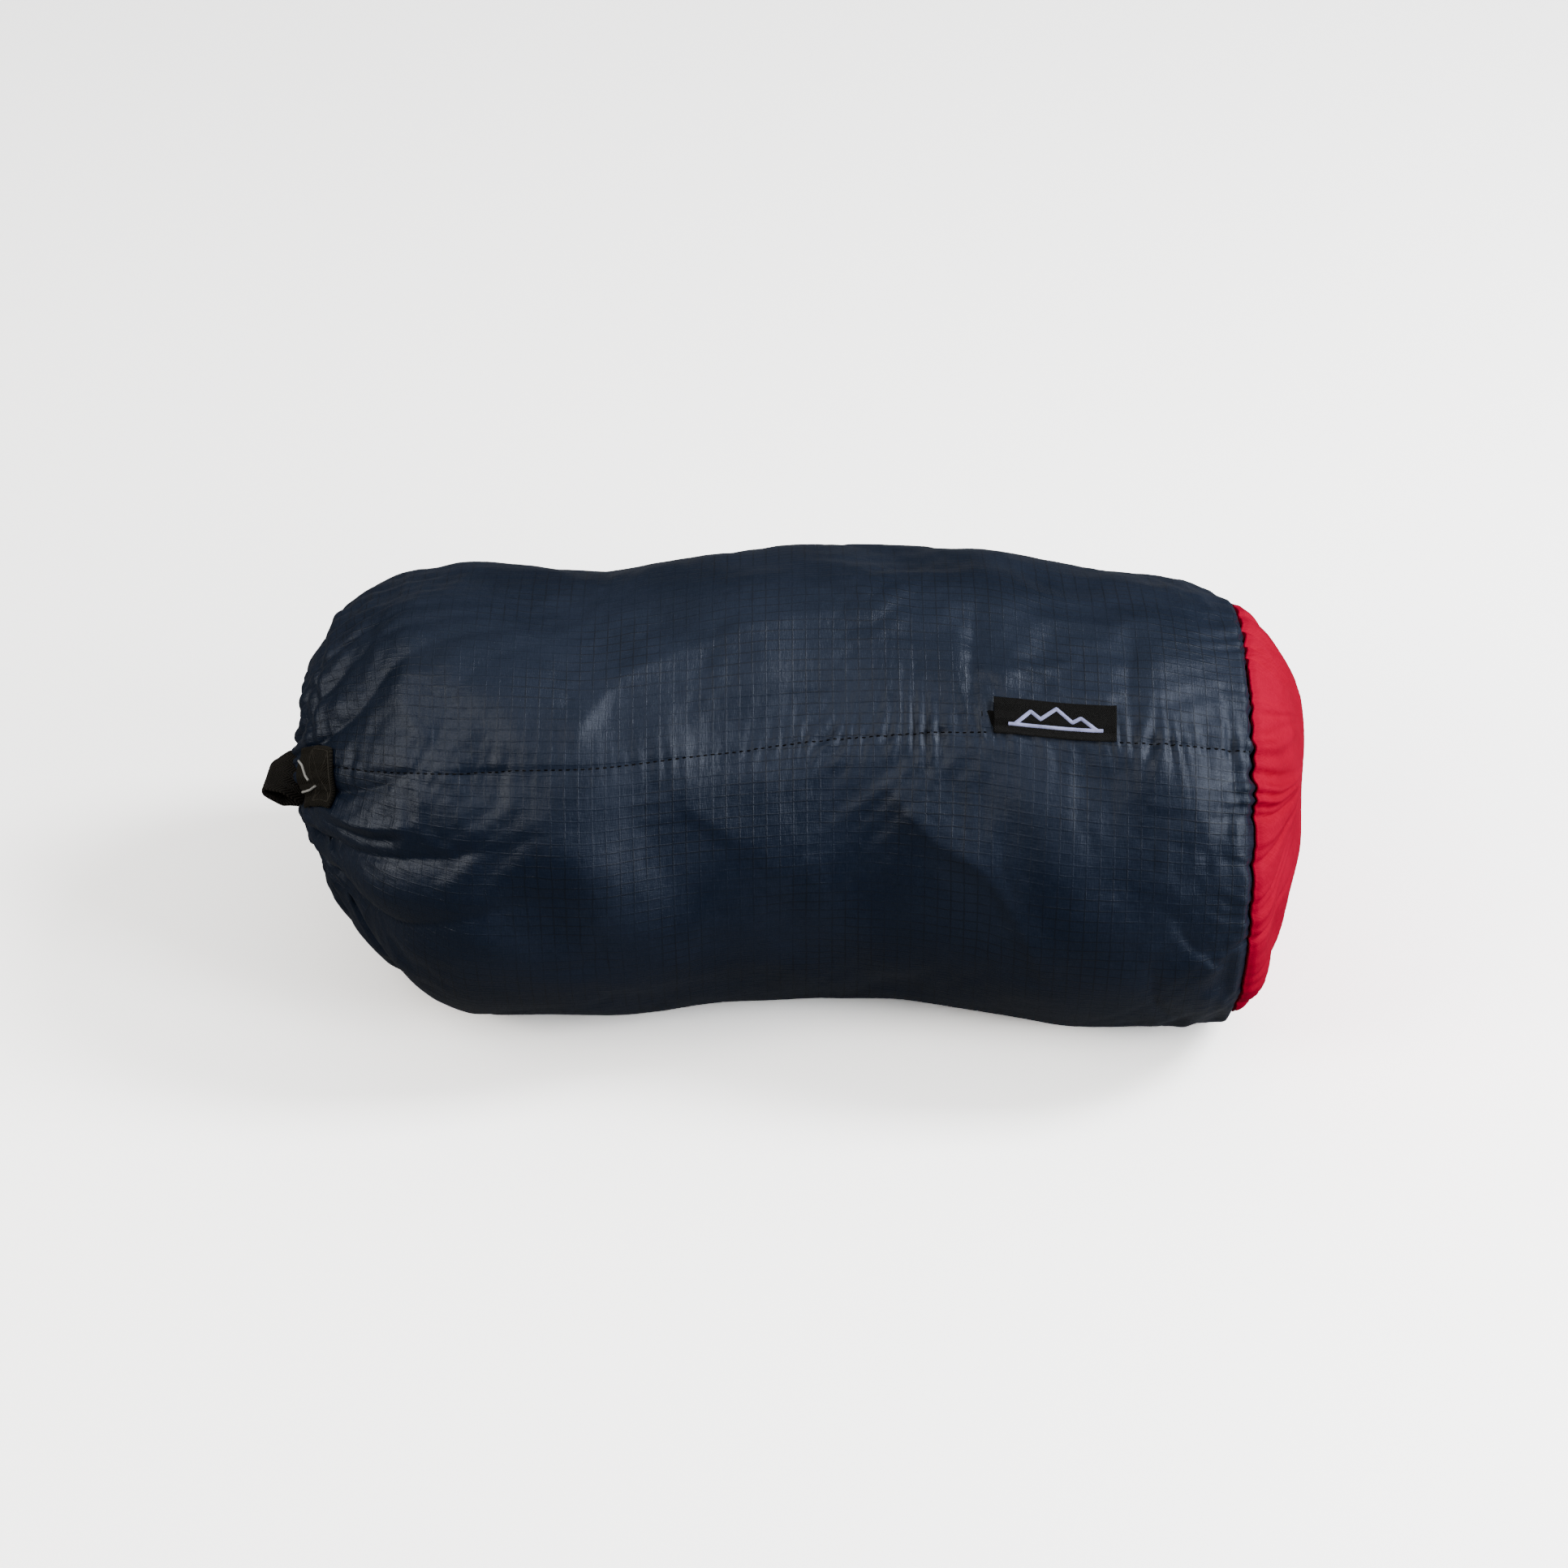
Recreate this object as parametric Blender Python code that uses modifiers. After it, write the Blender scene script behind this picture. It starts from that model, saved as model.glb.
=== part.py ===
"""Camping hammock packed in its drawstring stuff sack, lying on its side.

Units are metres, and MM turns millimetres into them. The floor is z = 0 and +Z is up. +X runs along the
sack from its drawn mouth to its round bottom panel, and the long seam is on the -Y side, half way up.
The origin is on the floor, on the flat that the sack rests on.

The sack is a fabric shell with its red bottom panel. Its mouth is a hem tunnel with a cord that a spring
cord lock holds. Inside are the rolled hammock with a gathered sleeve, rope loop and carabiner for each
end, and two coiled tree straps.
"""

import math

import bmesh
import bpy
from mathutils import Matrix, Vector

MM = 0.001
COLLECTION = "camping_hammock"
CUTTERS = "cutters"

# The sack's cross-sections from the mouth to the bottom seam: each is a circle, flat where it meets the
# floor. Rows hold place along X, radius, sideways place and height of the centre, all in millimetres.
SACK_SECTIONS = (
    (-151.0, 25.3, 2.0, 73.0),
    (-149.2, 37.0, 2.5, 74.0),
    (-146.0, 46.0, 3.0, 75.0),
    (-141.0, 53.0, 3.5, 75.0),
    (-131.5, 61.5, 2.5, 73.0),
    (-119.5, 68.5, 1.5, 71.0),
    (-100.0, 73.7, 0.0, 68.5),
    (-58.0, 72.5, -1.0, 68.0),
    (-18.0, 73.0, 5.5, 68.0),
    (9.0, 73.5, 8.5, 68.0),
    (36.0, 75.0, 8.0, 68.0),
    (62.0, 75.6, 5.0, 68.0),
    (89.0, 74.5, -2.0, 68.0),
    (116.0, 73.6, -6.5, 68.0),
    (131.0, 72.0, -8.0, 67.0),
    (141.0, 69.5, -8.7, 66.0),
    (146.0, 67.5, -8.7, 66.0),
)
# The padded bottom panel bulges out from the seam to its crown.
BASE_SECTIONS = (
    (146.9, 67.5, -8.7, 66.0),
    (150.5, 65.5, -8.7, 66.0),
    (156.0, 59.5, -8.0, 67.0),
    (161.5, 50.0, -5.0, 70.0),
    (167.0, 33.0, 0.0, 74.0),
    (169.5, 15.0, 3.0, 77.0),
)
BASE_CROWN = (170.0, 4.0, 78.0)
SACK_MIDDLE = Vector((-40.0, 0.0, 68.0))
AROUND = 36
FABRIC = 0.8

# The long seam runs along the sack at this angle round it (0 is +Y, 90 is up).
SEAM_ANGLE = 132.6
SEAM_TURN_PER_MM = -0.0515

# The hem tunnel is a fabric tube round the mouth, open at the gap where the cord comes out.
MOUTH = (-153.5, 2.0, 73.0)
HEM_RADIUS = 20.5
HEM_TUBE_RADIUS = 4.5
HEM_GAP_HALF_ANGLE = 11.0
CORD_GAP_HALF_ANGLE = 13.0
HEM_STEPS = 30
EXIT_ANGLE = 235.0

CORD_RADIUS = 1.2
CORD_PAIR_HALF = 1.35
CORD_FRONT_X = -156.8
CORD_IN_LOCK = 0.45
CORD_TURN_X = -123.5
CORD_STRAIGHT_X = -153.5
CORD_BEND = 3.3
# Where the cord leaves the lock's front for the hem: place along X, distance from the mouth's middle and
# sideways place.
CORD_INTO_HEM = ((-156.8, 12.5, 1.35), (-156.0, 16.2, 1.45), (-154.6, 18.9, 2.3))
KNOT_RADII = (4.2, 3.4, 3.4)

# The cord lock lies across the mouth. Its own frame: +X along the cord, +Z along the plunger.
LOCK_X = -147.0
LOCK_RADIUS = 5.6
LOCK_BORE = 4.4
LOCK_LOW = -11.0
LOCK_FLOOR = -9.8
LOCK_HIGH = 6.0
LOCK_SLOT = (5.6, 3.4)
SLOT_CUT = 20.0
LOCK_EDGE = 0.5
STEM_RADIUS = 4.2
STEM_LOW = -2.6
STEM_SLOT_LOW = -0.8
STEM_SLOT_HIGH = 4.75
PLUNGER_TRAVEL = 3.4
BUTTON_RADIUS = 5.2
BUTTON_HEIGHT = 2.4
SPRING_RADIUS = 3.0
SPRING_WIRE = 0.35
SPRING_TURNS = 4.5
SPRING_END_GAP = 0.1
SPRING_STEPS_PER_TURN = 10

# The pull loop is a 20 mm webbing strap: one part sewn down at the mouth, one part free.
WEBBING_WIDTH = 19.5
WEBBING = 1.3
ANCHOR_ANGLE = 141.0
ANCHOR_XS = (-150.5, -149.2, -147.6, -146.0, -144.6)
# The free loop in profile: place along X and distance from the mouth's middle. It turns on its side from
# LOOP_TWIST_START on, about a line LOOP_PIVOT from the mouth's middle.
LOOP_OUTER = ((-153.6, 29.4), (-156.5, 30.0), (-160.0, 30.6))
LOOP_FOLD = (-163.4, 27.6)
LOOP_FOLD_RADIUS = 3.1
LOOP_INNER = ((-160.2, 24.8), (-157.6, 26.2), (-155.2, 27.4))
LOOP_TWIST = math.radians(42.0)
LOOP_TWIST_START = -155.5
LOOP_TWIST_LENGTH = 11.0
LOOP_PIVOT = 27.8
LOOP_HINGE_X = -154.0
LABEL_START = 65.4
LABEL_LENGTH = 37.6
LABEL_HEIGHT = 11.2
LABEL_STEPS = 5
LABEL = 0.7
LAID_ON_GAP = 0.5

# The rolled bed: three panels wound together round one centre.
ROLL_START = -76.0
ROLL_END = 100.0
ROLL_CENTRE = (3.0, 68.0)
ROLL_INNER = 8.0
ROLL_TURNS = 3.0
PANEL = 5.4
PANEL_PITCH = 18.0

STRAP_START = 104.0
STRAP_WIDTH = 25.0
STRAP_CENTRES = ((-35.0, 67.0), (23.0, 67.0))
STRAP_INNER = 7.0
STRAP_TURNS = 6.0
STRAP = 2.8
STRAP_PITCH = 3.4

# Each end of the bed has a carabiner, a rope loop and a gathered sleeve, side by side in the sack.
END_SIDES = (("head", -1.0), ("foot", 1.0))
END_OFFSET = 25.0
CARABINER_X = -105.0
CARABINER_Z = 69.0
CARABINER_HALF = (17.0, 34.0)
CARABINER_CORNER = 13.0
CARABINER_ROD = 4.0
PIVOT_Z = -17.0
NOSE_Z = 15.0
TAB_HALF = 2.0
TAB_LENGTH = 10.0
GATE_WIRE = 1.1
GATE_LEG_X = 3.4
GATE_END_X = 0.5
GATE_BEND = 0.8
GATE_TIP = (11.6, 18.0)
PIVOT_HOLE = 1.35
ROPE_RADIUS = 2.5
ROPE_BOX = (-117.0, -88.0, 24.0, 60.0)
ROPE_CORNER = 8.0
# Height and swell of the bunched sleeve, from its lower end to its upper one.
SLEEVE_PROFILE = ((33.0, 0.0), (39.0, 0.5), (45.0, 0.5), (51.0, 0.0))
SLEEVE_BORE = 3.6
SLEEVE_WALL = 5.2

NAVY = (0.030, 0.042, 0.072)
RED = (0.600, 0.006, 0.033)
WEB_BLACK = (0.010, 0.009, 0.008)
CORD_BLACK = (0.012, 0.012, 0.013)
PLASTIC_BLACK = (0.014, 0.014, 0.015)
STEEL = (0.55, 0.55, 0.56)
ANODISED = (0.10, 0.12, 0.15)
ROPE_GREY = (0.30, 0.31, 0.33)


# ---------------------------------------------------------------- helpers

def clear_scene():
    for obj in list(bpy.data.objects):
        bpy.data.objects.remove(obj, do_unlink=True)


def new_collection(name):
    collection = bpy.data.collections.new(name)
    bpy.context.scene.collection.children.link(collection)
    return collection


def new_material(name, colour, roughness, metallic=0.0):
    material = bpy.data.materials.new(name)
    material.use_nodes = True
    shader = material.node_tree.nodes["Principled BSDF"]
    shader.inputs["Base Color"].default_value = (*colour, 1.0)
    shader.inputs["Roughness"].default_value = roughness
    shader.inputs["Metallic"].default_value = metallic
    material.diffuse_color = (*colour, 1.0)
    return material


def put(name, mesh, material=None):
    """Make a mesh an object of the part, or a cutter when it has no material."""
    obj = bpy.data.objects.new(name, mesh)
    if material is None:
        obj.hide_render = True
        obj.display_type = "WIRE"
        collection = bpy.data.collections[CUTTERS]
    else:
        mesh.materials.append(material)
        collection = bpy.data.collections[COLLECTION]
    collection.objects.link(obj)
    return obj


def shade(obj, angle=40.0):
    obj.data.shade_smooth()
    obj.data.set_sharp_from_angle(angle=math.radians(angle))


def mesh_from(name, build):
    """Run build(bm) on an empty bmesh and return the mesh."""
    bm = bmesh.new()
    build(bm)
    bmesh.ops.recalc_face_normals(bm, faces=bm.faces)
    mesh = bpy.data.meshes.new(name)
    bm.to_mesh(mesh)
    bm.free()
    return mesh


def cylinder_mesh(name, radius, low, high, segments=24):
    """A cylinder on the local Z axis, from low to high."""
    def build(bm):
        middle = Matrix.Translation((0.0, 0.0, 0.5 * (low + high) * MM))
        bmesh.ops.create_cone(bm, cap_ends=True, segments=segments, radius1=radius * MM,
                              radius2=radius * MM, depth=(high - low) * MM, matrix=middle)
    return mesh_from(name, build)


def box_mesh(name, size, centre=(0.0, 0.0, 0.0)):
    def build(bm):
        scale = Matrix.Diagonal((*(side * MM for side in size), 1.0))
        place = Matrix.Translation(Vector(centre) * MM)
        bmesh.ops.create_cube(bm, size=1.0, matrix=place @ scale)
    return mesh_from(name, build)


def ellipsoid_mesh(name, radii, centre):
    def build(bm):
        scale = Matrix.Diagonal((*(radius * MM for radius in radii), 1.0))
        place = Matrix.Translation(Vector(centre) * MM)
        bmesh.ops.create_icosphere(bm, subdivisions=2, radius=1.0, matrix=place @ scale)
    return mesh_from(name, build)


def boolean(obj, cutter, operation):
    modifier = obj.modifiers.new(cutter.name, "BOOLEAN")
    modifier.operation = operation
    modifier.object = cutter


def solidify(obj, thickness, offset=-1.0):
    modifier = obj.modifiers.new("thickness", "SOLIDIFY")
    modifier.thickness = thickness * MM
    modifier.offset = offset
    modifier.use_even_offset = True


def rings_mesh(name, rings, crown=None):
    """An open skin through rings of points, closed to a point where a crown is given. Its faces point
    away from the middle of the first ring."""
    mesh = bpy.data.meshes.new(name)
    count = len(rings[0])
    points = [point * MM for ring in rings for point in ring]
    faces = []
    for row in range(len(rings) - 1):
        for step in range(count):
            after = (step + 1) % count
            low, high = row * count, (row + 1) * count
            faces.append((low + step, low + after, high + after, high + step))
    if crown is not None:
        points.append(Vector(crown) * MM)
        last = (len(rings) - 1) * count
        faces += [(last + step, last + (step + 1) % count, len(points) - 1) for step in range(count)]
    mesh.from_pydata(points, [], faces)
    middle = sum(points[:count], Vector()) / count
    first = mesh.polygons[0]
    if first.normal.dot(first.center - middle) < 0.0:
        mesh.flip_normals()
    return mesh


def strip_mesh(name, rows):
    """An open skin through rows of points, each row as long as the next."""
    mesh = bpy.data.meshes.new(name)
    count = len(rows[0])
    points = [point * MM for row in rows for point in row]
    faces = []
    for row in range(len(rows) - 1):
        for step in range(count - 1):
            low = row * count + step
            faces.append((low, low + 1, low + count + 1, low + count))
    mesh.from_pydata(points, [], faces)
    return mesh


def face_away_from(obj, place):
    """Turn an open strip's faces away from a place."""
    facing = sum(face.normal.dot(face.center - place * MM) for face in obj.data.polygons)
    if facing < 0.0:
        obj.data.flip_normals()


def tube_mesh(name, points, radius, closed=False, detail=1):
    """A round wire along points, as a welded mesh."""
    curve = bpy.data.curves.new(name, "CURVE")
    curve.dimensions = "3D"
    curve.bevel_depth = radius * MM
    curve.bevel_resolution = detail
    curve.use_fill_caps = not closed
    spline = curve.splines.new("POLY")
    spline.points.add(len(points) - 1)
    for target, point in zip(spline.points, points):
        target.co = (*(Vector(point) * MM), 1.0)
    spline.use_cyclic_u = closed
    guide = bpy.data.objects.new(name + "_guide", curve)
    bpy.context.scene.collection.objects.link(guide)
    bpy.context.view_layer.update()
    shape = guide.evaluated_get(bpy.context.evaluated_depsgraph_get())
    mesh = bpy.data.meshes.new_from_object(shape)
    bpy.data.objects.remove(guide, do_unlink=True)
    bm = bmesh.new()
    bm.from_mesh(mesh)
    bmesh.ops.remove_doubles(bm, verts=bm.verts, dist=0.00001)
    bmesh.ops.recalc_face_normals(bm, faces=bm.faces)
    bm.to_mesh(mesh)
    bm.free()
    mesh.name = name
    return mesh


def arc(centre, radius, start, end, steps):
    """Points on an arc in a plane, angles in degrees."""
    points = []
    for step in range(steps + 1):
        angle = math.radians(start + (end - start) * step / steps)
        points.append((centre[0] + radius * math.cos(angle), centre[1] + radius * math.sin(angle)))
    return points


def circle(centre, radius, steps):
    """Points round a whole circle, with none repeated."""
    return arc(centre, radius, 0.0, 360.0, steps)[:-1]


# ---------------------------------------------------------------- the sack

def section_ring(x, radius, side, height):
    """One cross-section of the sack, flat where it would pass below the floor."""
    ring = []
    for step in range(AROUND):
        angle = 2.0 * math.pi * step / AROUND
        z = height + radius * math.sin(angle)
        ring.append(Vector((x, side + radius * math.cos(angle), max(z, 0.0))))
    return ring


def section_at(x):
    """The sack's cross-section at any x, between the rows of SACK_SECTIONS."""
    for low, high in zip(SACK_SECTIONS, SACK_SECTIONS[1:]):
        if x <= high[0]:
            break
    part = (x - low[0]) / (high[0] - low[0])
    return [a + (b - a) * part for a, b in zip(low[1:], high[1:])]


def sack_point(x, angle, lift):
    """A point on the sack's skin, or lift millimetres outside it."""
    radius, side, height = section_at(x)
    before, after = section_at(x - 1.0), section_at(x + 1.0)
    slope = math.atan2(after[0] - before[0], 2.0)
    turn = math.radians(angle)
    reach = radius + lift * math.cos(slope)
    y = side + reach * math.cos(turn)
    z = height + reach * math.sin(turn)
    return Vector((x - lift * math.sin(slope), y, z))


def seam_angle(x):
    return SEAM_ANGLE + SEAM_TURN_PER_MM * x


def make_sack_body(material):
    rings = [section_ring(*row) for row in SACK_SECTIONS]
    body = put("sack_body", rings_mesh("sack_body", rings), material)
    solidify(body, FABRIC)
    shade(body)


def make_sack_base(material):
    rings = [section_ring(*row) for row in BASE_SECTIONS]
    base = put("sack_base", rings_mesh("sack_base", rings, BASE_CROWN), material)
    solidify(base, FABRIC)
    shade(base)


# ---------------------------------------------------------------- mouth: hem, cord and cord lock

def mouth_point(x, out, along=0.0):
    """A point by its place along X, its distance from the mouth's middle towards the cord's exit, and
    its distance sideways from there."""
    turn = math.radians(EXIT_ANGLE)
    y = MOUTH[1] + out * math.cos(turn) - along * math.sin(turn)
    z = MOUTH[2] + out * math.sin(turn) + along * math.cos(turn)
    return Vector((x, y, z))


def make_hem_tunnel(material):
    """The hem is an open tube bent round the mouth, with a gap at the cord's exit."""
    rings = []
    start = EXIT_ANGLE + HEM_GAP_HALF_ANGLE
    sweep = 360.0 - 2.0 * HEM_GAP_HALF_ANGLE
    for step in range(HEM_STEPS + 1):
        turn = math.radians(start + sweep * step / HEM_STEPS)
        ring = []
        for along, out in circle((0.0, HEM_RADIUS), HEM_TUBE_RADIUS, 12):
            y = MOUTH[1] + out * math.cos(turn)
            z = MOUTH[2] + out * math.sin(turn)
            ring.append(Vector((MOUTH[0] + along, y, z)))
        rings.append(ring)
    hem = put("drawcord_channel", rings_mesh("drawcord_channel", rings), material)
    solidify(hem, FABRIC)
    shade(hem)


def cord_half(side):
    """The cord's path from the knot, out through the lock, over its front and into the hem."""
    lane = side * CORD_PAIR_HALF
    path = [mouth_point(CORD_TURN_X, -CORD_IN_LOCK, lane)]
    path.append(mouth_point(CORD_STRAIGHT_X, -CORD_IN_LOCK, lane))
    bend_centre = (CORD_BEND - CORD_IN_LOCK, CORD_FRONT_X + CORD_BEND)
    for out, x in arc(bend_centre, CORD_BEND, 180.0, 270.0, 4):
        path.append(mouth_point(x, out, lane))
    for x, out, along in CORD_INTO_HEM:
        path.append(mouth_point(x, out, side * along))
    return path


def make_drawcord(material):
    first = cord_half(1.0)
    last = cord_half(-1.0)
    start = EXIT_ANGLE + CORD_GAP_HALF_ANGLE
    for y, z in arc(MOUTH[1:], HEM_RADIUS, start, start + 360.0 - 2.0 * CORD_GAP_HALF_ANGLE, HEM_STEPS):
        first.append(Vector((MOUTH[0], y, z)))
    path = first + last[::-1]
    turn_back = arc((CORD_TURN_X, 0.0), CORD_PAIR_HALF, -90.0, 90.0, 4)[1:-1]
    path += [mouth_point(x, -CORD_IN_LOCK, along) for x, along in turn_back]
    cord = put("drawcord", tube_mesh("drawcord", path, CORD_RADIUS, closed=True), material)
    middle = mouth_point(CORD_TURN_X, -CORD_IN_LOCK)
    knot = put("cut_end_knot", ellipsoid_mesh("cut_end_knot", KNOT_RADII, middle))
    boolean(cord, knot, "UNION")
    shade(cord)


def lock_matrix():
    """The cord lock's own frame, with its plunger pointing away from the cord's exit."""
    turn = math.radians(EXIT_ANGLE)
    up = Vector((0.0, -math.cos(turn), -math.sin(turn)))
    along = Vector((1.0, 0.0, 0.0))
    matrix = Matrix((along, up.cross(along), up)).transposed().to_4x4()
    matrix.translation = Vector((LOCK_X, MOUTH[1], MOUTH[2])) * MM
    return matrix


def round_edges(obj, width):
    modifier = obj.modifiers.new("edges", "BEVEL")
    modifier.width = width * MM
    modifier.segments = 2


def make_lock_barrel(material):
    """The barrel is closed below and open above, with a slot across it for the two cords."""
    barrel = put("cord_lock_barrel", cylinder_mesh("barrel", LOCK_RADIUS, LOCK_LOW, LOCK_HIGH), material)
    bore = put("cut_lock_bore", cylinder_mesh("cut_lock_bore", LOCK_BORE, LOCK_FLOOR, LOCK_HIGH + 1.0))
    slot = put("cut_lock_slot", box_mesh("cut_lock_slot", (SLOT_CUT, *LOCK_SLOT)))
    round_edges(barrel, LOCK_EDGE)
    boolean(barrel, bore, "DIFFERENCE")
    boolean(barrel, slot, "DIFFERENCE")
    return barrel, bore, slot


def make_lock_plunger(material):
    """The stem's slot is as high as the cords and the plunger's travel, so both ends of it clear them."""
    button_low = LOCK_HIGH + PLUNGER_TRAVEL
    stem_mesh = cylinder_mesh("stem", STEM_RADIUS, STEM_LOW, button_low + 0.5 * BUTTON_HEIGHT)
    plunger = put("cord_lock_plunger", stem_mesh, material)
    button_mesh = cylinder_mesh("cut_button", BUTTON_RADIUS, button_low, button_low + BUTTON_HEIGHT)
    button = put("cut_button", button_mesh)
    round_edges(button, LOCK_EDGE)
    boolean(plunger, button, "UNION")
    size = (SLOT_CUT, LOCK_SLOT[0], STEM_SLOT_HIGH - STEM_SLOT_LOW)
    centre = (0.0, 0.0, 0.5 * (STEM_SLOT_HIGH + STEM_SLOT_LOW))
    slot = put("cut_stem_slot", box_mesh("cut_stem_slot", size, centre))
    boolean(plunger, slot, "DIFFERENCE")
    return plunger, button, slot


def make_cord_lock(plastic, button_plastic, steel):
    barrel_pieces = make_lock_barrel(plastic)
    plunger_pieces = make_lock_plunger(button_plastic)
    spring = put("cord_lock_spring", spring_mesh(), steel)
    frame = lock_matrix()
    for piece in (*barrel_pieces, *plunger_pieces, spring):
        piece.matrix_world = frame
    for piece in (barrel_pieces[0], plunger_pieces[0], spring):
        shade(piece)


def spring_mesh():
    low = LOCK_FLOOR + SPRING_WIRE + SPRING_END_GAP
    high = STEM_LOW - SPRING_WIRE - SPRING_END_GAP
    steps = int(SPRING_TURNS * SPRING_STEPS_PER_TURN)
    points = []
    for step in range(steps + 1):
        turn = 2.0 * math.pi * SPRING_TURNS * step / steps
        height = low + (high - low) * step / steps
        points.append((SPRING_RADIUS * math.cos(turn), SPRING_RADIUS * math.sin(turn), height))
    return tube_mesh("spring", points, SPRING_WIRE)


# ---------------------------------------------------------------- pull loop and label

def hang_on(obj, place):
    """Move an object's origin to the hinge that it turns on."""
    obj.data.transform(Matrix.Translation(-place * MM))
    obj.location = place * MM


def laid_strip(name, xs, angles_at, thickness, material):
    """A strip laid on the sack's skin, through the places that angles_at gives for each x."""
    rows = [[sack_point(x, angle, LAID_ON_GAP) for angle in angles_at(x)] for x in xs]
    strip = put(name, strip_mesh(name, rows), material)
    face_away_from(strip, SACK_MIDDLE)
    solidify(strip, thickness, offset=1.0)
    shade(strip)
    return strip


def make_pull_loop_anchor(material):
    """The sewn part of the strap, laid on the gathered cloth beside the hem."""
    def angles_at(x):
        half = math.degrees(0.5 * WEBBING_WIDTH / section_at(x)[0])
        return [ANCHOR_ANGLE + half * part for part in (-1.0, -0.5, 0.0, 0.5, 1.0)]
    laid_strip("pull_loop_anchor", ANCHOR_XS, angles_at, WEBBING, material)


def make_label(material):
    """The folded woven label: sewn into the long seam along its lower edge."""
    def angles_at(x):
        height = math.degrees(LABEL_HEIGHT / section_at(x)[0])
        return [seam_angle(x) - height * part for part in (0.0, 0.5, 1.0)]
    xs = [LABEL_START + LABEL_LENGTH * step / LABEL_STEPS for step in range(LABEL_STEPS + 1)]
    label = laid_strip("woven_label", xs, angles_at, LABEL, material)
    ends = [sack_point(x, seam_angle(x), LAID_ON_GAP) for x in (xs[0], xs[-1])]
    hang_on(label, 0.5 * (ends[0] + ends[1]))


def make_pull_loop(material):
    """A webbing band out from the anchor to a fold and back, turned on its side towards the fold."""
    turn = math.radians(ANCHOR_ANGLE)
    out = Vector((0.0, math.cos(turn), math.sin(turn)))
    side = Vector((0.0, -math.sin(turn), math.cos(turn)))
    middle = Vector((0.0, MOUTH[1], MOUTH[2]))
    profile = LOOP_OUTER + tuple(arc(LOOP_FOLD, LOOP_FOLD_RADIUS, 75.0, 270.0, 6)) + LOOP_INNER
    rows = []
    for x, distance in profile:
        twist = LOOP_TWIST * min(max((LOOP_TWIST_START - x) / LOOP_TWIST_LENGTH, 0.0), 1.0)
        width_way = side * math.cos(twist) + out * math.sin(twist)
        out_way = out * math.cos(twist) - side * math.sin(twist)
        centre = middle + out * LOOP_PIVOT + out_way * (distance - LOOP_PIVOT) + Vector((x, 0.0, 0.0))
        rows.append([centre + width_way * (0.5 * WEBBING_WIDTH * part) for part in (-1.0, -0.33, 0.33, 1.0)])
    loop = put("pull_loop", strip_mesh("pull_loop", rows), material)
    solidify(loop, WEBBING, offset=0.0)
    shade(loop)
    hang_on(loop, middle + out * LOOP_PIVOT + Vector((LOOP_HINGE_X, 0.0, 0.0)))


# ---------------------------------------------------------------- rolled hammock and straps

def spiral_rows(centre, inner, pitch, turns, start_turn, x_low, x_high, steps_per_turn):
    """Rows across a band that is wound round an axis along X."""
    steps = int(turns * steps_per_turn)
    rows = []
    for step in range(steps + 1):
        part = turns * step / steps
        angle = 2.0 * math.pi * (part + start_turn)
        radius = inner + pitch * part
        y = centre[0] + radius * math.cos(angle)
        z = centre[1] + radius * math.sin(angle)
        rows.append([Vector((x_low, y, z)), Vector((x_high, y, z))])
    return rows


def make_rolled_panels(centre_cloth, side_cloth):
    """Three panels wound together: each starts a third of a turn after the one before."""
    names = ("hammock_centre_panel", "hammock_left_panel", "hammock_right_panel")
    for index, name in enumerate(names):
        rows = spiral_rows(ROLL_CENTRE, ROLL_INNER, PANEL_PITCH, ROLL_TURNS, index / 3.0,
                           ROLL_START, ROLL_END, 24)
        panel = put(name, strip_mesh(name, rows), centre_cloth if index == 0 else side_cloth)
        solidify(panel, PANEL, offset=0.0)
        shade(panel, 60.0)


def make_tree_straps(material):
    for (side_name, _), centre in zip(END_SIDES, STRAP_CENTRES):
        name = side_name + "_tree_strap"
        rows = spiral_rows(centre, STRAP_INNER, STRAP_PITCH, STRAP_TURNS, 0.0,
                           STRAP_START, STRAP_START + STRAP_WIDTH, 18)
        strap = put(name, strip_mesh(name, rows), material)
        solidify(strap, STRAP, offset=0.0)
        shade(strap, 60.0)


# ---------------------------------------------------------------- carabiners, rope loops and sleeves

def carabiner_path():
    """Centre line of the hook from the pivot tab round to the nose, in its own plane."""
    half_width, half_height = CARABINER_HALF
    inset_w = half_width - CARABINER_CORNER
    inset_h = half_height - CARABINER_CORNER
    path = [(half_width, PIVOT_Z + 3.0)]
    path += arc((inset_w, -inset_h), CARABINER_CORNER, 0.0, -90.0, 5)
    path += arc((-inset_w, -inset_h), CARABINER_CORNER, -90.0, -180.0, 5)
    path += arc((-inset_w, inset_h), CARABINER_CORNER, 180.0, 90.0, 5)
    path += arc((inset_w, inset_h), CARABINER_CORNER, 90.0, 0.0, 5)
    path.append((half_width, NOSE_Z))
    return path


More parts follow.
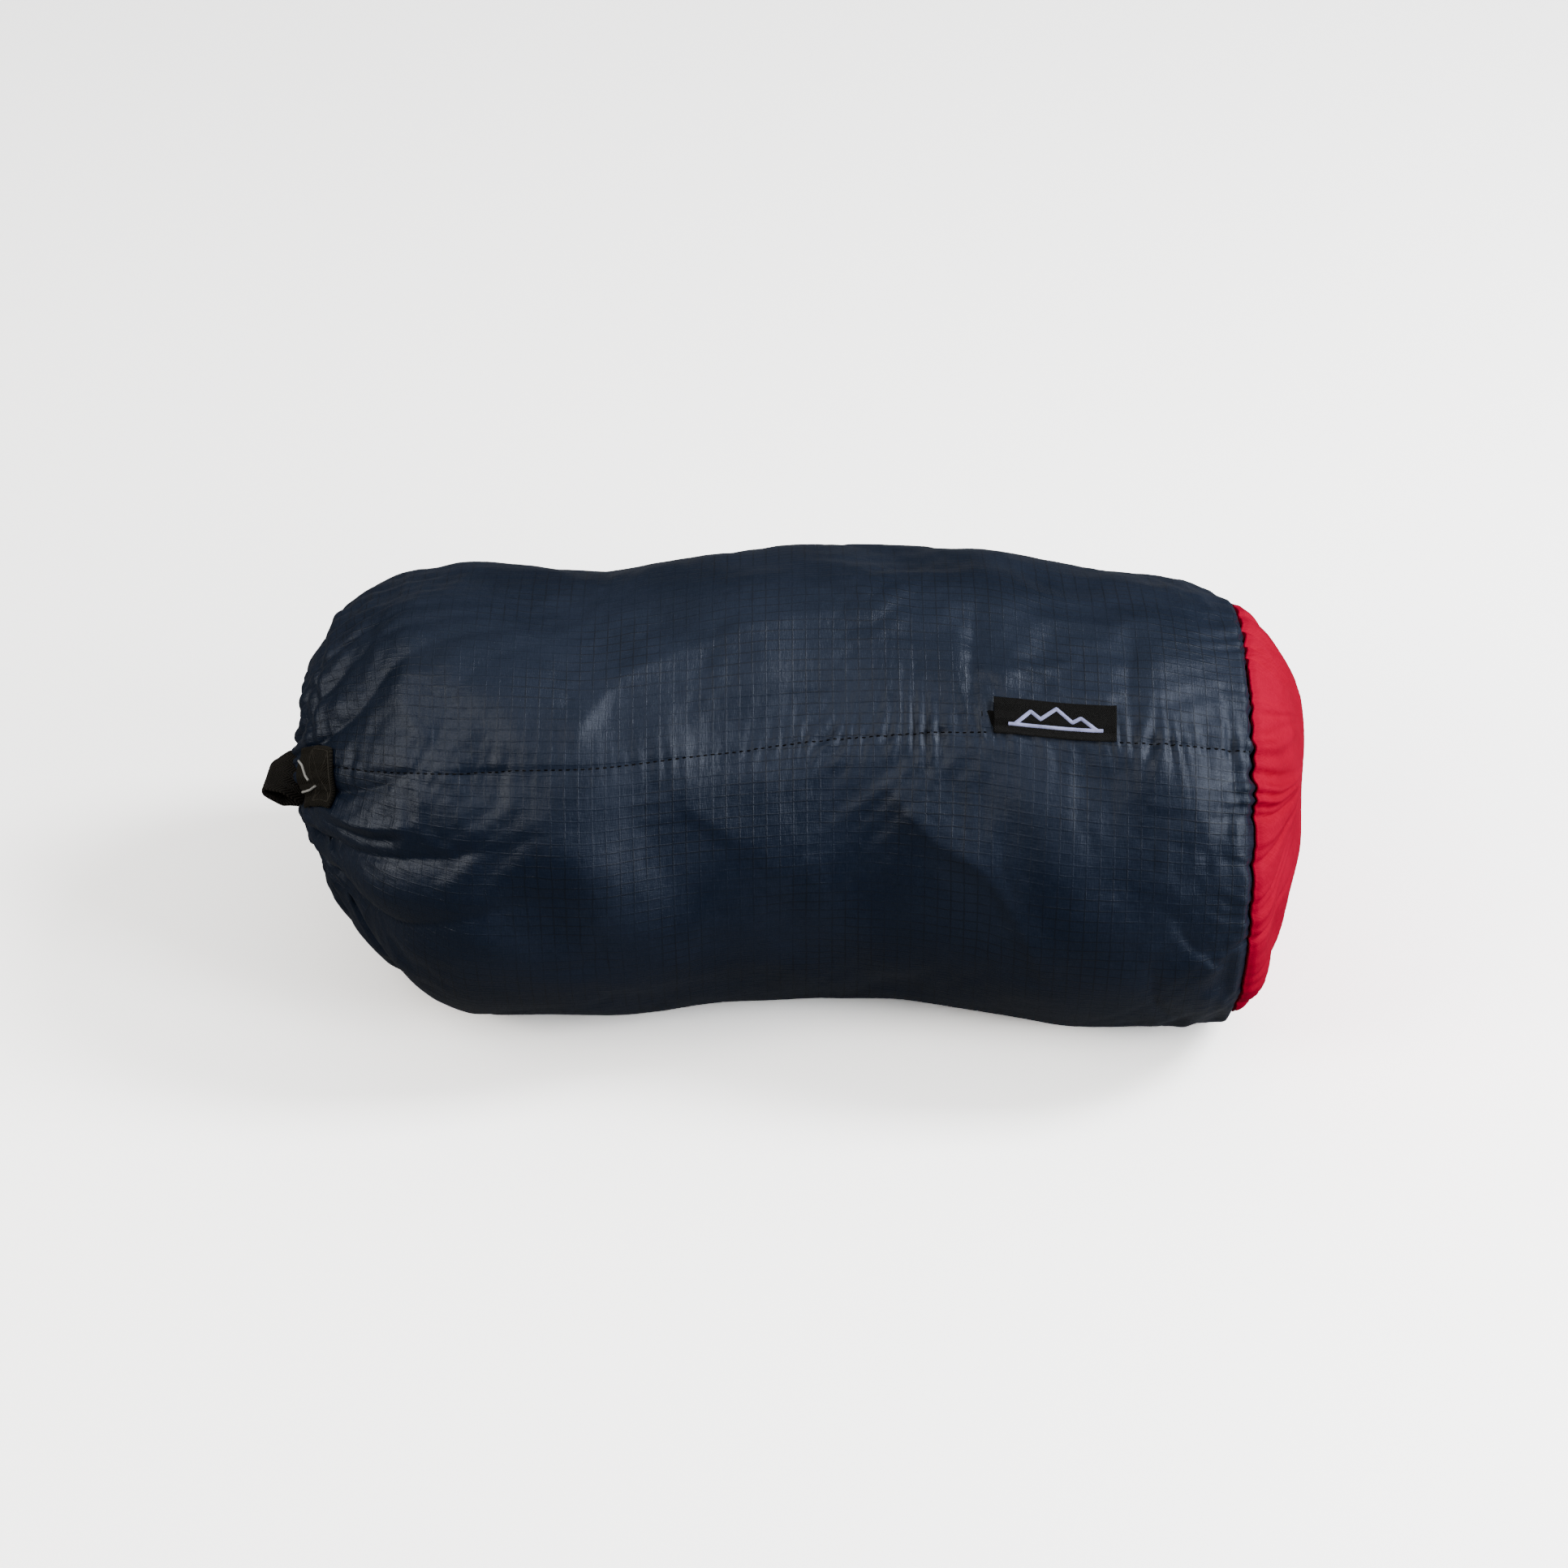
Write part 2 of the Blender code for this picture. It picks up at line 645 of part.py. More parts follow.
def make_carabiner(name, side, material):
    """The gate side faces the middle of the sack, so the far one is the near one mirrored."""
    centre = Vector((CARABINER_X, side * END_OFFSET, CARABINER_Z))
    path = [centre + Vector((0.0, -side * across, up)) for across, up in carabiner_path()]
    hook = put(name, tube_mesh(name, path, CARABINER_ROD, detail=2), material)
    tab_y = centre.y - side * CARABINER_HALF[0]
    tab_z = centre.z + PIVOT_Z
    cheek = CARABINER_ROD - TAB_HALF
    for end, end_name in ((-1.0, "front"), (1.0, "back")):
        cheek_centre = (centre.x + end * (TAB_HALF + cheek), tab_y, tab_z)
        cutter_name = f"cut_{name}_{end_name}"
        cut_size = (2.0 * cheek, 3.0 * CARABINER_ROD, TAB_LENGTH)
        cut = put(cutter_name, box_mesh(cutter_name, cut_size, cheek_centre))
        boolean(hook, cut, "DIFFERENCE")
    hole_name = f"cut_{name}_hole"
    hole_mesh = cylinder_mesh(hole_name, PIVOT_HOLE, -2.0 * CARABINER_ROD, 2.0 * CARABINER_ROD, segments=16)
    hole = put(hole_name, hole_mesh)
    turn = Matrix.Rotation(math.radians(90.0), 4, "Y")
    hole.matrix_world = Matrix.Translation(Vector((centre.x, tab_y, tab_z)) * MM) @ turn
    boolean(hook, hole, "DIFFERENCE")
    shade(hook)


def make_gate(name, side, material):
    """A bent wire: both ends sit in the pivot hole, and its closed end rests inside the nose."""
    centre = Vector((CARABINER_X, side * END_OFFSET, CARABINER_Z))
    pivot = Vector((0.0, -side * CARABINER_HALF[0], PIVOT_Z))
    tip = Vector((0.0, -side * GATE_TIP[0], GATE_TIP[1]))
    along = (tip - pivot).normalized()
    path = []
    for end in (-1.0, 1.0):
        across = Vector((end, 0.0, 0.0))
        leg = [
            pivot + across * GATE_END_X,
            pivot + across * (GATE_LEG_X - GATE_BEND),
            pivot + across * GATE_LEG_X + along * GATE_BEND,
            tip + across * GATE_LEG_X - along * (2.0 * GATE_BEND),
            tip + across * (GATE_LEG_X - 0.5 * GATE_BEND) - along * (0.5 * GATE_BEND),
            tip + across * (GATE_LEG_X - 2.0 * GATE_BEND),
        ]
        path += leg if end < 0.0 else leg[::-1]
    gate = put(name, tube_mesh(name, path, GATE_WIRE), material)
    gate.data.transform(Matrix.Translation(centre * MM))
    shade(gate)
    hang_on(gate, centre + pivot)


def make_rope_loop(name, side, material):
    """A closed rope through the sleeve and the carabiner, in an upright plane along the sack."""
    x_low, x_high, z_low, z_high = ROPE_BOX
    corners = ((x_high, z_high, 0.0), (x_low, z_high, 90.0), (x_low, z_low, 180.0), (x_high, z_low, 270.0))
    path = []
    for x, z, start in corners:
        middle = (x - math.copysign(ROPE_CORNER, x - 0.5 * (x_low + x_high)),
                  z - math.copysign(ROPE_CORNER, z - 0.5 * (z_low + z_high)))
        for across, up in arc(middle, ROPE_CORNER, start, start + 90.0, 4):
            path.append(Vector((across, side * END_OFFSET, up)))
    rope = put(name, tube_mesh(name, path, ROPE_RADIUS, closed=True), material)
    shade(rope)


def make_sleeve(name, side, material):
    """The bunched end of the bed, sewn to a sleeve that the rope runs through."""
    centre = Vector((ROPE_BOX[1], side * END_OFFSET, 0.0))
    rings = []
    for height, swell in SLEEVE_PROFILE:
        ring = circle((0.0, 0.0), SLEEVE_BORE + SLEEVE_WALL + swell, 12)
        rings.append([centre + Vector((x, y, height)) for x, y in ring])
    sleeve = put(name, rings_mesh(name, rings), material)
    solidify(sleeve, SLEEVE_WALL)
    shade(sleeve)


# ---------------------------------------------------------------- build

def main():
    clear_scene()
    new_collection(COLLECTION)
    new_collection(CUTTERS)
    navy = new_material("navy_ripstop", NAVY, 0.55)
    red = new_material("red_ripstop", RED, 0.5)
    hem = new_material("navy_hem", NAVY, 0.6)
    webbing = new_material("black_webbing", WEB_BLACK, 0.85)
    label = new_material("black_label", WEB_BLACK, 0.7)
    cord = new_material("black_cord", CORD_BLACK, 0.8)
    plastic = new_material("black_plastic", PLASTIC_BLACK, 0.4)
    button = new_material("black_button", PLASTIC_BLACK, 0.35)
    steel = new_material("spring_steel", STEEL, 0.3, 1.0)
    anodised = new_material("anodised_aluminium", ANODISED, 0.35, 1.0)
    rope = new_material("grey_rope", ROPE_GREY, 0.8)

    make_sack_body(navy)
    make_sack_base(red)
    make_hem_tunnel(hem)
    make_drawcord(cord)
    make_cord_lock(plastic, button, steel)
    make_pull_loop_anchor(webbing)
    make_pull_loop(webbing)
    make_label(label)
    make_rolled_panels(navy, red)
    make_tree_straps(webbing)
    for side_name, side in END_SIDES:
        make_sleeve(side_name + "_end_sleeve", side, navy)
        make_rope_loop(side_name + "_rope_loop", side, rope)
        make_carabiner(side_name + "_carabiner", side, anodised)
        make_gate(side_name + "_carabiner_gate", side, steel)


main()
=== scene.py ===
"""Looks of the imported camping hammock: a navy ripstop stuff sack with a red bottom panel, lying on its side.

The frame gives every size. Shapes are worked out in millimetres and turned into metres when a mesh is made.
Two coordinates cover the sack's skin: x along the sack, and the angle round it (0 is +Y, 90 is up).
"""

import math

import bpy
import numpy as np
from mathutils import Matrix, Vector


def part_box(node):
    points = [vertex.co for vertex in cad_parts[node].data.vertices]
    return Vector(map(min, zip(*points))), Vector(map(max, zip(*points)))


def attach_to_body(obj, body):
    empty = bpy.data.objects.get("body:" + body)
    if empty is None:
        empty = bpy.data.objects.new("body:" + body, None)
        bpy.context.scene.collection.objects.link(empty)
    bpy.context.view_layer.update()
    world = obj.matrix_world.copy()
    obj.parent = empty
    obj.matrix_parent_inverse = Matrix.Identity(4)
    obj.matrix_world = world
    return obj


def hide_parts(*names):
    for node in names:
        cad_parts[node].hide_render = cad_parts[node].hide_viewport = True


MM = 0.001
TURN = 2.0 * math.pi

# The skin's grid, crowded round the side that the camera sees
BODY_ROWS = 340
BASE_ROWS = 110
COLUMNS = 288
CROWDING = 0.42
PROFILE_STEP = 0.5
PROFILE_SOFTNESS = 4.5
FLOOR_CLEARANCE = 0.25
REFERENCE_RADIUS = 73.0
VIEW_ANGLE = math.radians(140.0)

# The long seam: its angle in degrees at x = 0, how it turns along the sack, and a bow (degrees, place, reach)
SEAM_ANGLE = 132.6
SEAM_TURN_PER_MM = -0.0515
SEAM_BOW = (1.7, -85.0, 42.0)
PUCKER_PITCH = 4.5
STITCH_PITCH = 2.2
STITCH_LENGTH = 1.45
STITCH_RADIUS = (0.23, 0.22)
# One stitch: part of its length, size and lift of each ring
STITCH_RINGS = (
    (-0.5, 0.05, -0.15), (-0.32, 0.85, 0.05), (0.0, 1.0, 0.12), (0.32, 0.85, 0.05), (0.5, 0.05, -0.15),
)
STITCHES_FROM, STITCHES_TO = -142.0, 145.0

# The round seam between the body and the bottom panel
ROUND_SEAM_RADIUS = 67.5
FINE_PUCKERS = 78
COARSE_PUCKERS = 31
GATHER_SEED = 41

# The cloth simulation
SIM_ROWS = 100
SIM_STEP = 3
SIM_FRAMES = 26
SIM_EXCESS = -0.018
SIM_LIMIT = 4.5

# The mouth
MOUTH = np.array((-153.5, 2.0, 73.0))
HEM_RADIUS = 20.5
HEM_TUBE_RADIUS = 4.5
HEM_GAP_ANGLE = 11.0
EXIT_ANGLE = 235.0
PLEATS = 27
PLEAT_RADIUS = 25.0
PLEAT_SEED = 31
MOUTH_FOLDS = 23
MOUTH_FOLD_RADIUS = 60.0
LIP_RADIUS = 48.0
LIP_REACH = 22.0
LIP_FORWARD = 4.6
LIP_BACK = 6.5
LOW_SIDE = math.radians(215.0)
CREASED_SIDE = math.radians(205.0)

# The cord: through the lock, over the front of the hem (x, out, along) and round inside it
CORD_RADIUS = 1.2
KNOT_RADIUS = 1.15
CORD_PAIR_HALF = 1.35
CORD_FRONT_X = -156.8
CORD_IN_LOCK = 0.45
CORD_TURN_X = -123.5
CORD_STRAIGHT_X = -153.5
CORD_BEND = 3.3
CORD_INTO_HEM = ((-156.8, 12.5, 1.35), (-156.0, 16.2, 1.45), (-154.6, 18.9, 2.3))
CORD_GAP_ANGLE = 13.0

# The webbing strap: its sewn end, and the loop's two runs as (x, distance from the middle of the mouth)
WEBBING_WIDTH = 19.5
WEBBING = 1.3
WEBBING_COLUMNS = 41
STRAP_ANGLE = math.radians(141.0)
STRAP_SHIFT = 2.4
STRAP_LIFT = 1.25
# A point inside the sack, which tells which way is out
INSIDE_SACK = (-100.0, 2.0, 70.0)
ANCHOR_X = (-149.4, -139.4)
BOX_STITCH = (0.46, 0.93, 0.08, 0.92)
# Painted light: two pale strokes on the strap for bright light from behind that shows through gaps in the
# loop, as points (u along the strap, v across it)
GAP_LIGHT_STROKES = (
    ((0.03, 0.26), (0.14, 0.32), (0.26, 0.46), (0.35, 0.51)),
    ((0.03, 0.67), (0.25, 0.65), (0.5, 0.60)),
)
GAP_LIGHT_STROKE_RADIUS = 0.4
LOOP_OUTER = ((-150.4, 28.6), (-151.2, 29.7), (-152.8, 30.2), (-156.5, 30.2), (-160.0, 30.6))
LOOP_FOLD = (-164.6, 27.6)
LOOP_FOLD_RADIUS = 1.5
LOOP_INNER = ((-160.2, 24.8), (-157.6, 26.2), (-155.2, 27.4))
LOOP_TWIST = math.radians(64.0)
LOOP_TWIST_START = -152.8
LOOP_TWIST_LENGTH = 12.7
LOOP_PIVOT = 27.8
LOOP_SLANT = -0.7
LOOP_CUP = 1.4

# The label, and its mark as strokes (u along the label, v up it) with the half width of each
LABEL_START = 65.4
LABEL_LENGTH = 37.6
LABEL_HEIGHT = 11.2
LABEL_THICKNESS = 0.7
MARK = (
    (
        ((0.17, 0.26), (0.30, 0.66), (0.38, 0.46), (0.51, 0.80), (0.64, 0.44), (0.71, 0.58), (0.84, 0.26)),
        0.62,
    ),
    (((0.12, 0.26), (0.89, 0.26)), 0.55),
)
SATIN_STITCH = ((-1.0, 0.3), (-0.75, 0.5), (0.0, 0.58), (0.75, 0.5), (1.0, 0.3))

# The cloth's grid of thicker threads, in metres
RIPSTOP_CELL = (0.0041, 0.0034)
RIPSTOP_THREAD = 0.00042

# The studio. Each light: name, place, target, size, watts, colour
WHITE = (1.0, 1.0, 1.0)
WARM = (1.0, 0.94, 0.86)
LIGHTS = (
    ("key", (0.92, 0.04, 1.02), (0.05, 0.0, 0.06), (0.3, 0.5), 10.0, WHITE),
    ("right", (0.90, -0.66, 0.76), (0.08, 0.0, 0.06), (0.3, 0.6), 4.3, WHITE),
    ("left", (-0.64, -0.50, 0.88), (-0.12, 0.0, 0.06), (0.26, 0.7), 2.15, WARM),
    ("far left", (-1.15, -0.45, 0.62), (-0.14, 0.0, 0.06), (0.3, 0.5), 3.6, WARM),
    ("low right", (1.15, -0.60, 0.32), (0.15, 0.0, 0.05), (0.5, 0.35), 4.8, WHITE),
)
FLOOR_HALF = 6.0
FLOOR_BOUNCE = (0.14, 0.14, 0.14)
FLOOR_SEEN = (4.2, 4.2, 4.2)
SKY_SEEN = 2.6
CAMERA_TARGET = (0.0, 0.0, 0.0688)
CAMERA_DISTANCE = 1.25
CAMERA_ELEVATION = math.radians(40.0)
CAMERA_LENS = 87.2
CAMERA_SENSOR = 36.0

# Folds of the skin: start and end as (x, millimetres round the sack from the view angle, downwards on the
# camera side), height, width on the left of the line, width on its right, bow of the line.
FOLDS = (
    ((30, -52), (-45, -37), 1.3, 8, 5.5, 4),
    ((-42, -39), (-64, -15), 1.7, 9, 4.5, 3),
    ((34, 6), (62, 27), 2.0, 4, 20, 3),
    ((58, 24), (82, 60), 2.6, 5, 26, -3),
    ((61, -58), (60, -14), -1.3, 4, 4, 1.5),
    ((110, -58), (108, -16), -1.2, 5, 4, 2),
    ((122, 40), (140, 58), -1.2, 2.5, 3.5, 2),
    ((128, 50), (142, 62), 0.9, 2.5, 4, 1),
    ((115, 52), (122, 88), -1.1, 3, 4, 2),
    ((-113, -50), (-108, -12), 1.0, 5, 8, 6),
    ((-141, -44), (-108, -50), 1.0, 6, 7, -3),
    ((-139, 25), (-117, 19), -2.2, 1.6, 2.4, 1.5),
    ((-144, 19), (-114, 14), 1.5, 2.6, 2.6, 2),
    ((-146, 33), (-120, 28), 1.2, 3.5, 4, 2),
    ((-150, -36), (-126, -66), -1.4, 5, 6, 3),
    ((-90, 60), (20, 72), 1.0, 14, 14, 5),
    ((-70, 150), (40, 190), -1.6, 12, 12, 8),
    ((70, 150), (130, 175), 1.5, 10, 12, 6),
    ((-120, -130), (-40, -160), -1.5, 10, 12, 6),
    ((20, -120), (100, -150), 1.6, 11, 9, -6),
)
# Broad hollows and swellings: place, half length, half width, height
SWELLS = (
    ((92, -80), 17, 12, -2.4),
    ((-128, -22), 13, 20, -1.7),
    ((104, 66), 34, 20, 2.2),
    ((104, 18), 30, 20, -1.0),
    ((-30, 44), 60, 24, 1.2),
    ((-96, -58), 16, 12, 1.3),
    ((20, -60), 30, 14, 1.0),
    ((-60, 190), 40, 30, 2.0),
    ((60, 150), 30, 26, -1.8),
    ((-146, 74), 16, 30, -5.0),
)

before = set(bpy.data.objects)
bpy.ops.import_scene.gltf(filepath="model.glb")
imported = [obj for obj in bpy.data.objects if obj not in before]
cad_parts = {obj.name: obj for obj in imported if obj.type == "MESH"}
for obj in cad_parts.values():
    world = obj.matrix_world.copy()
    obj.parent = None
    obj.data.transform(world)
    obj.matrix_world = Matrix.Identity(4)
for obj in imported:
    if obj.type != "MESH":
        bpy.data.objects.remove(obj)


# ---------------------------------------------------------------- small mathematics

def smooth(value):
    value = np.clip(value, 0.0, 1.0)
    return value * value * (3.0 - 2.0 * value)


def waves(points, low, high, seed, count=26):
    """Smooth noise with a spread of 1: waves in random directions, low to high millimetres long."""
    random = np.random.default_rng(seed)
    directions = random.normal(size=(count, 3))
    directions /= np.linalg.norm(directions, axis=1)[:, None]
    lengths = random.uniform(low, high, count)
    phases = random.uniform(0.0, TURN, count)
    total = np.zeros(points.shape[:-1])
    for direction, length, phase in zip(directions, lengths, phases):
        total += np.cos(points @ (direction * TURN / length) + phase)
    return total * math.sqrt(2.0 / count)


def bump(value, middle, reach):
    """A smooth bump, 1 at its middle."""
    return np.exp(-((value - middle) / reach) ** 2)


def on_line(along):
    return np.stack((along, 0.31 * along, np.zeros_like(along)), axis=-1)


def on_circle(angle, radius):
    return np.stack((radius * np.cos(angle), radius * np.sin(angle), np.zeros_like(angle)), axis=-1)


def pinch(along, places, spacing, seed, sharp=True):
    """Ridges unevenly spaced along a seam, -0.6 to 0.4, with sharp or rounded valleys between them."""
    shift = waves(places, 2.5 * spacing, 6.0 * spacing, seed) * 0.28 * spacing
    size = 0.65 + 0.35 * waves(places, 1.5 * spacing, 5.0 * spacing, seed + 1)
    ridges = np.abs(np.sin(math.pi * (along + shift) / spacing)) ** (0.7 if sharp else 2.0)
    return (ridges - 0.6) * size


def soften(points, passes):
    """Smooth a run of points, or of rows of points, in place. Its two ends stay where they are."""
    for _ in range(passes):
        points[1:-1] = 0.5 * points[1:-1] + 0.25 * (points[:-2] + points[2:])
    return points


def distances(path):
    """The length of a path from its start to each of its points."""
    return np.concatenate(([0.0], np.cumsum(np.linalg.norm(np.diff(path, axis=0), axis=1))))


def smooth_profile(values, sigma):
    """Soften a profile; its two ends stay where they are."""
    reach = int(4 * sigma)
    kernel = np.exp(-0.5 * (np.arange(-reach, reach + 1) / sigma) ** 2)
    kernel /= kernel.sum()
    before = 2.0 * values[0] - values[reach:0:-1]
    after = 2.0 * values[-1] - values[-2:-reach - 2:-1]
    return np.convolve(np.concatenate((before, values, after)), kernel, mode="valid")


# ---------------------------------------------------------------- the sack's profile

def read_sections(name):
    """Rows of x, radius, sideways place and height of the centre, from the frame's own rings."""
    rings = {}
    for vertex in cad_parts[name].data.vertices:
        rings.setdefault(round(vertex.co.x / MM, 2), []).append((vertex.co.y / MM, vertex.co.z / MM))
    rows = []
    for x, ring in sorted(rings.items()):
        if len(ring) < 30:
            continue
        y, z = np.array(ring).T
        radius = 0.5 * (y.max() - y.min())
        rows.append((x, radius, 0.5 * (y.max() + y.min()), z.max() - radius))
    outer = []
    for row in rows:
        if not any(abs(row[0] - other[0]) < 1.2 and other[1] > row[1] for other in rows):
            outer.append(row)
    return np.array(outer)


def profile(rows, count, softness):
    """The softened profile at count places, evenly spaced along the cloth: length, x, radius, y, z."""
    length = np.concatenate(([0.0], np.cumsum(np.hypot(np.diff(rows[:, 0]), np.diff(rows[:, 1])))))
    fine = np.arange(0.0, length[-1], PROFILE_STEP)
    columns = [smooth_profile(np.interp(fine, length, rows[:, i]), softness / PROFILE_STEP) for i in range(4)]
    even = np.linspace(0.0, fine[-1], count)
    return np.stack([even] + [np.interp(even, fine, column) for column in columns], axis=1)


def column_angles(count):
    """Angles of the grid's columns, closer together on the side with the long seam."""
    even = np.arange(count) * TURN / count
    return even - CROWDING * np.sin(even - VIEW_ANGLE)


def near_mouth(radius):
    """1 at the mouth, where the skin is narrow, fading to 0 as it widens."""
    return smooth((LIP_RADIUS - radius) / LIP_REACH)


def blend_into_hem(line):
    """Near the mouth the skin swells forward, so that it runs on into the hem tube."""
    line[:, 1] -= LIP_FORWARD * near_mouth(line[:, 2])
    return line


def low_side(angle):
    """1 at the lower front of the mouth, where its lip falls back, fading to 0 on both sides."""
    return bump(angle, LOW_SIDE, 0.75)


def profile_points(line, angles):
    """Circles of points round the profile, as a grid of rows along the sack."""
    x, radius, side, height = (line[:, i][:, None] for i in range(1, 5))
    y = side + radius * np.cos(angles)[None, :]
    z = height + radius * np.sin(angles)[None, :]
    return np.stack((np.broadcast_to(x, y.shape), y, z), axis=-1)


def settle(points, softness=1.6):
    """Nothing goes below the floor: the skin flattens softly onto it."""
    z = points[..., 2] - FLOOR_CLEARANCE
    points[..., 2] = FLOOR_CLEARANCE + np.where(
        z > 8 * softness, z, softness * np.log1p(np.exp(np.clip(z / softness, -30.0, 30.0))))
    return points


def grid_normals(points):
    """Unit normals of a grid that closes on itself from the last column to the first."""
    down = np.gradient(points, axis=0)
    across = np.roll(points, -1, axis=1) - np.roll(points, 1, axis=1)
    normal = np.cross(across, down)
    normal /= np.maximum(np.linalg.norm(normal, axis=-1, keepdims=True), 1e-9)
    centre = points.mean(axis=1, keepdims=True)
    if np.sum(normal * (points - centre)) < 0.0:
        normal = -normal
    return normal


# ---------------------------------------------------------------- relief of the skin

def seam_angle(x):
    """The long seam's angle round the sack, at x."""
    bow, place, reach = SEAM_BOW
    return np.radians(SEAM_ANGLE + SEAM_TURN_PER_MM * x - bow * bump(x, place, reach))


def fold(x, around, start, end, height, left, right, bow):
    """One fold along a line that fades at both ends, with its own width on each side."""
    run = np.array(end, float) - np.array(start, float)
    length = np.linalg.norm(run)
    u, v = x - start[0], around - start[1]
    along = (u * run[0] + v * run[1]) / length ** 2
    across = (u * run[1] - v * run[0]) / length + bow * (1.0 - (2.0 * along - 1.0) ** 2)
    width = np.where(across > 0.0, right, left)
    fade = np.exp(-np.abs((along - 0.5) / 0.52) ** 5)
    return height * fade * np.exp(-np.sqrt((across / width) ** 2 + 0.06) * 1.35 + 0.33)


def swell(x, around, place, half_x, half_around, height):
    """One broad hollow or swelling."""
    return height * np.exp(-((x - place[0]) / half_x) ** 2 - ((around - place[1]) / half_around) ** 2)


def wrapped(around):
    """Millimetres round the sack from the view angle, in the half turn on each side of it."""
    half = math.pi * REFERENCE_RADIUS
    return (around + half) % (2.0 * half) - half


def broad_relief(points, x, angle):
    """The skin's large shapes: slow waves, the named folds and the named swellings."""
    around = wrapped((angle - VIEW_ANGLE) * REFERENCE_RADIUS)
    relief = 0.75 * waves(points, 60.0, 130.0, seed=11) + 0.35 * waves(points, 26.0, 50.0, seed=12)
    for item in FOLDS:
        relief = relief + fold(x, around, *item)
    for item in SWELLS:
        relief = relief + swell(x, around, *item)
    return relief


def seam_distance(x, angle, radius):
    """Millimetres from the long seam, positive above it."""
    turn = (seam_angle(x) - angle + math.pi) % TURN - math.pi
    return turn * radius


def seam_relief(x, angle, radius):
    """The long seam: a fine valley, a step where the cloth overlaps, and puckers in three places."""
    away = seam_distance(x, angle, radius)
    strength = 0.2 + bump(x, 36.0, 30.0) + 0.9 * bump(x, 126.0, 18.0) + 0.35 * bump(x, -136.0, 10.0)
    line = on_line(x + 0.25 * away)
    slant = x + 0.22 * away * waves(on_line(x), 30.0, 80.0, seed=21)
    reach = np.where(away > 0.0, 7.0, 5.5) * (1.0 + 0.3 * bump(x, 35.0, 30.0))
    gathered = pinch(slant, line, PUCKER_PITCH, 22, sharp=False)
    puckers = 2.3 * strength * gathered * np.exp(-np.abs(away) / reach)
    valley = -0.32 * bump(away, 0.0, 0.9)
    step = 0.22 * np.tanh(away / 1.2) * np.exp(-np.abs(away) / 6.0)
    return puckers + valley + step


def mouth_relief(from_hem, angle):
    """The gathers of the mouth: many pleats at the hem, which join into fewer folds away from it."""
    ring = on_circle(angle, PLEAT_RADIUS)
    lean = 0.5 * from_hem * waves(ring, 30.0, 70.0, seed=33)
    folds = pinch(angle * MOUTH_FOLD_RADIUS + lean, on_circle(angle, MOUTH_FOLD_RADIUS),
                  TURN * MOUTH_FOLD_RADIUS / MOUTH_FOLDS, 34)
    below = 0.75 + 0.45 * np.cos(angle - LOW_SIDE)
    few = 4.2 * below * smooth(from_hem / 9.0) * bump(from_hem, 0.0, 66.0)
    few = few + 2.6 * bump(from_hem, 50.0, 20.0) * bump(angle, CREASED_SIDE, 0.65)
    many = 2.6 * np.exp(-from_hem / 15.0)
    return many * hem_pleats(angle) + few * folds


def hem_pleats(angle):
    """The pleats of the gathered hem, which the body's cloth and the hem tube share."""
    ring = on_circle(angle, PLEAT_RADIUS)
    return pinch(angle * PLEAT_RADIUS, ring, TURN * PLEAT_RADIUS / PLEATS, PLEAT_SEED)


def base_edge_relief(from_seam, angle, depth, reach):
    """Puckers square to the round seam between the body and the bottom panel."""
    ring = on_circle(angle, ROUND_SEAM_RADIUS)
    length = TURN * ROUND_SEAM_RADIUS
    along = angle * ROUND_SEAM_RADIUS + 0.35 * from_seam * waves(ring, 40.0, 90.0, GATHER_SEED)
    fine = 0.62 * pinch(along, ring, length / FINE_PUCKERS, GATHER_SEED + 1, sharp=False)
    coarse = 0.75 * pinch(along, ring, length / COARSE_PUCKERS, GATHER_SEED + 2)
    size = 0.55 + 0.45 * smooth(0.5 + 0.5 * waves(ring, 40.0, 120.0, GATHER_SEED + 5))
    lines = size * (fine * np.exp(-from_seam / (0.8 * reach)) + coarse * np.exp(-from_seam / reach))
    return depth * lines - 1.1 * bump(from_seam, 0.0, 1.7)


def skin_points(line, angles, relief, drape=0.0):
    """A grid of points on the sack, moved by the simulated drape and raised by the relief."""
    points = settle(profile_points(line, angles)) + drape
    normals = grid_normals(points)
    return settle(points + normals * relief[..., None], 0.6)


# ---------------------------------------------------------------- cloth simulation

def pins(length, angle, x, radius):
    """How firmly each simulated point is held: at both ends, along the long seam and under the label."""
    ends = np.maximum(smooth(1.0 - length / 9.0), smooth(1.0 - (length.max() - length) / 5.0))
    away = seam_distance(x, angle, radius)
    seam = np.where(np.abs(away) < 2.6, 0.1, 0.0)
    label = (away > -2.0) & (away < LABEL_HEIGHT + 3.0) & (x > LABEL_START - 3.0)
    label = np.where(label & (x < LABEL_START + LABEL_LENGTH + 3.0), 1.0, 0.0)
    return np.maximum(np.maximum(ends, seam), label)


def contents(points, normals):
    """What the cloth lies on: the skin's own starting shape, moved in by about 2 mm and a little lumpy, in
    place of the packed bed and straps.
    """
    lumps = 0.9 * waves(points, 34.0, 70.0, seed=81) + 0.3 * waves(points, 16.0, 28.0, seed=82)
    return points + normals * (np.minimum(lumps, 1.2) - 2.0)[..., None]


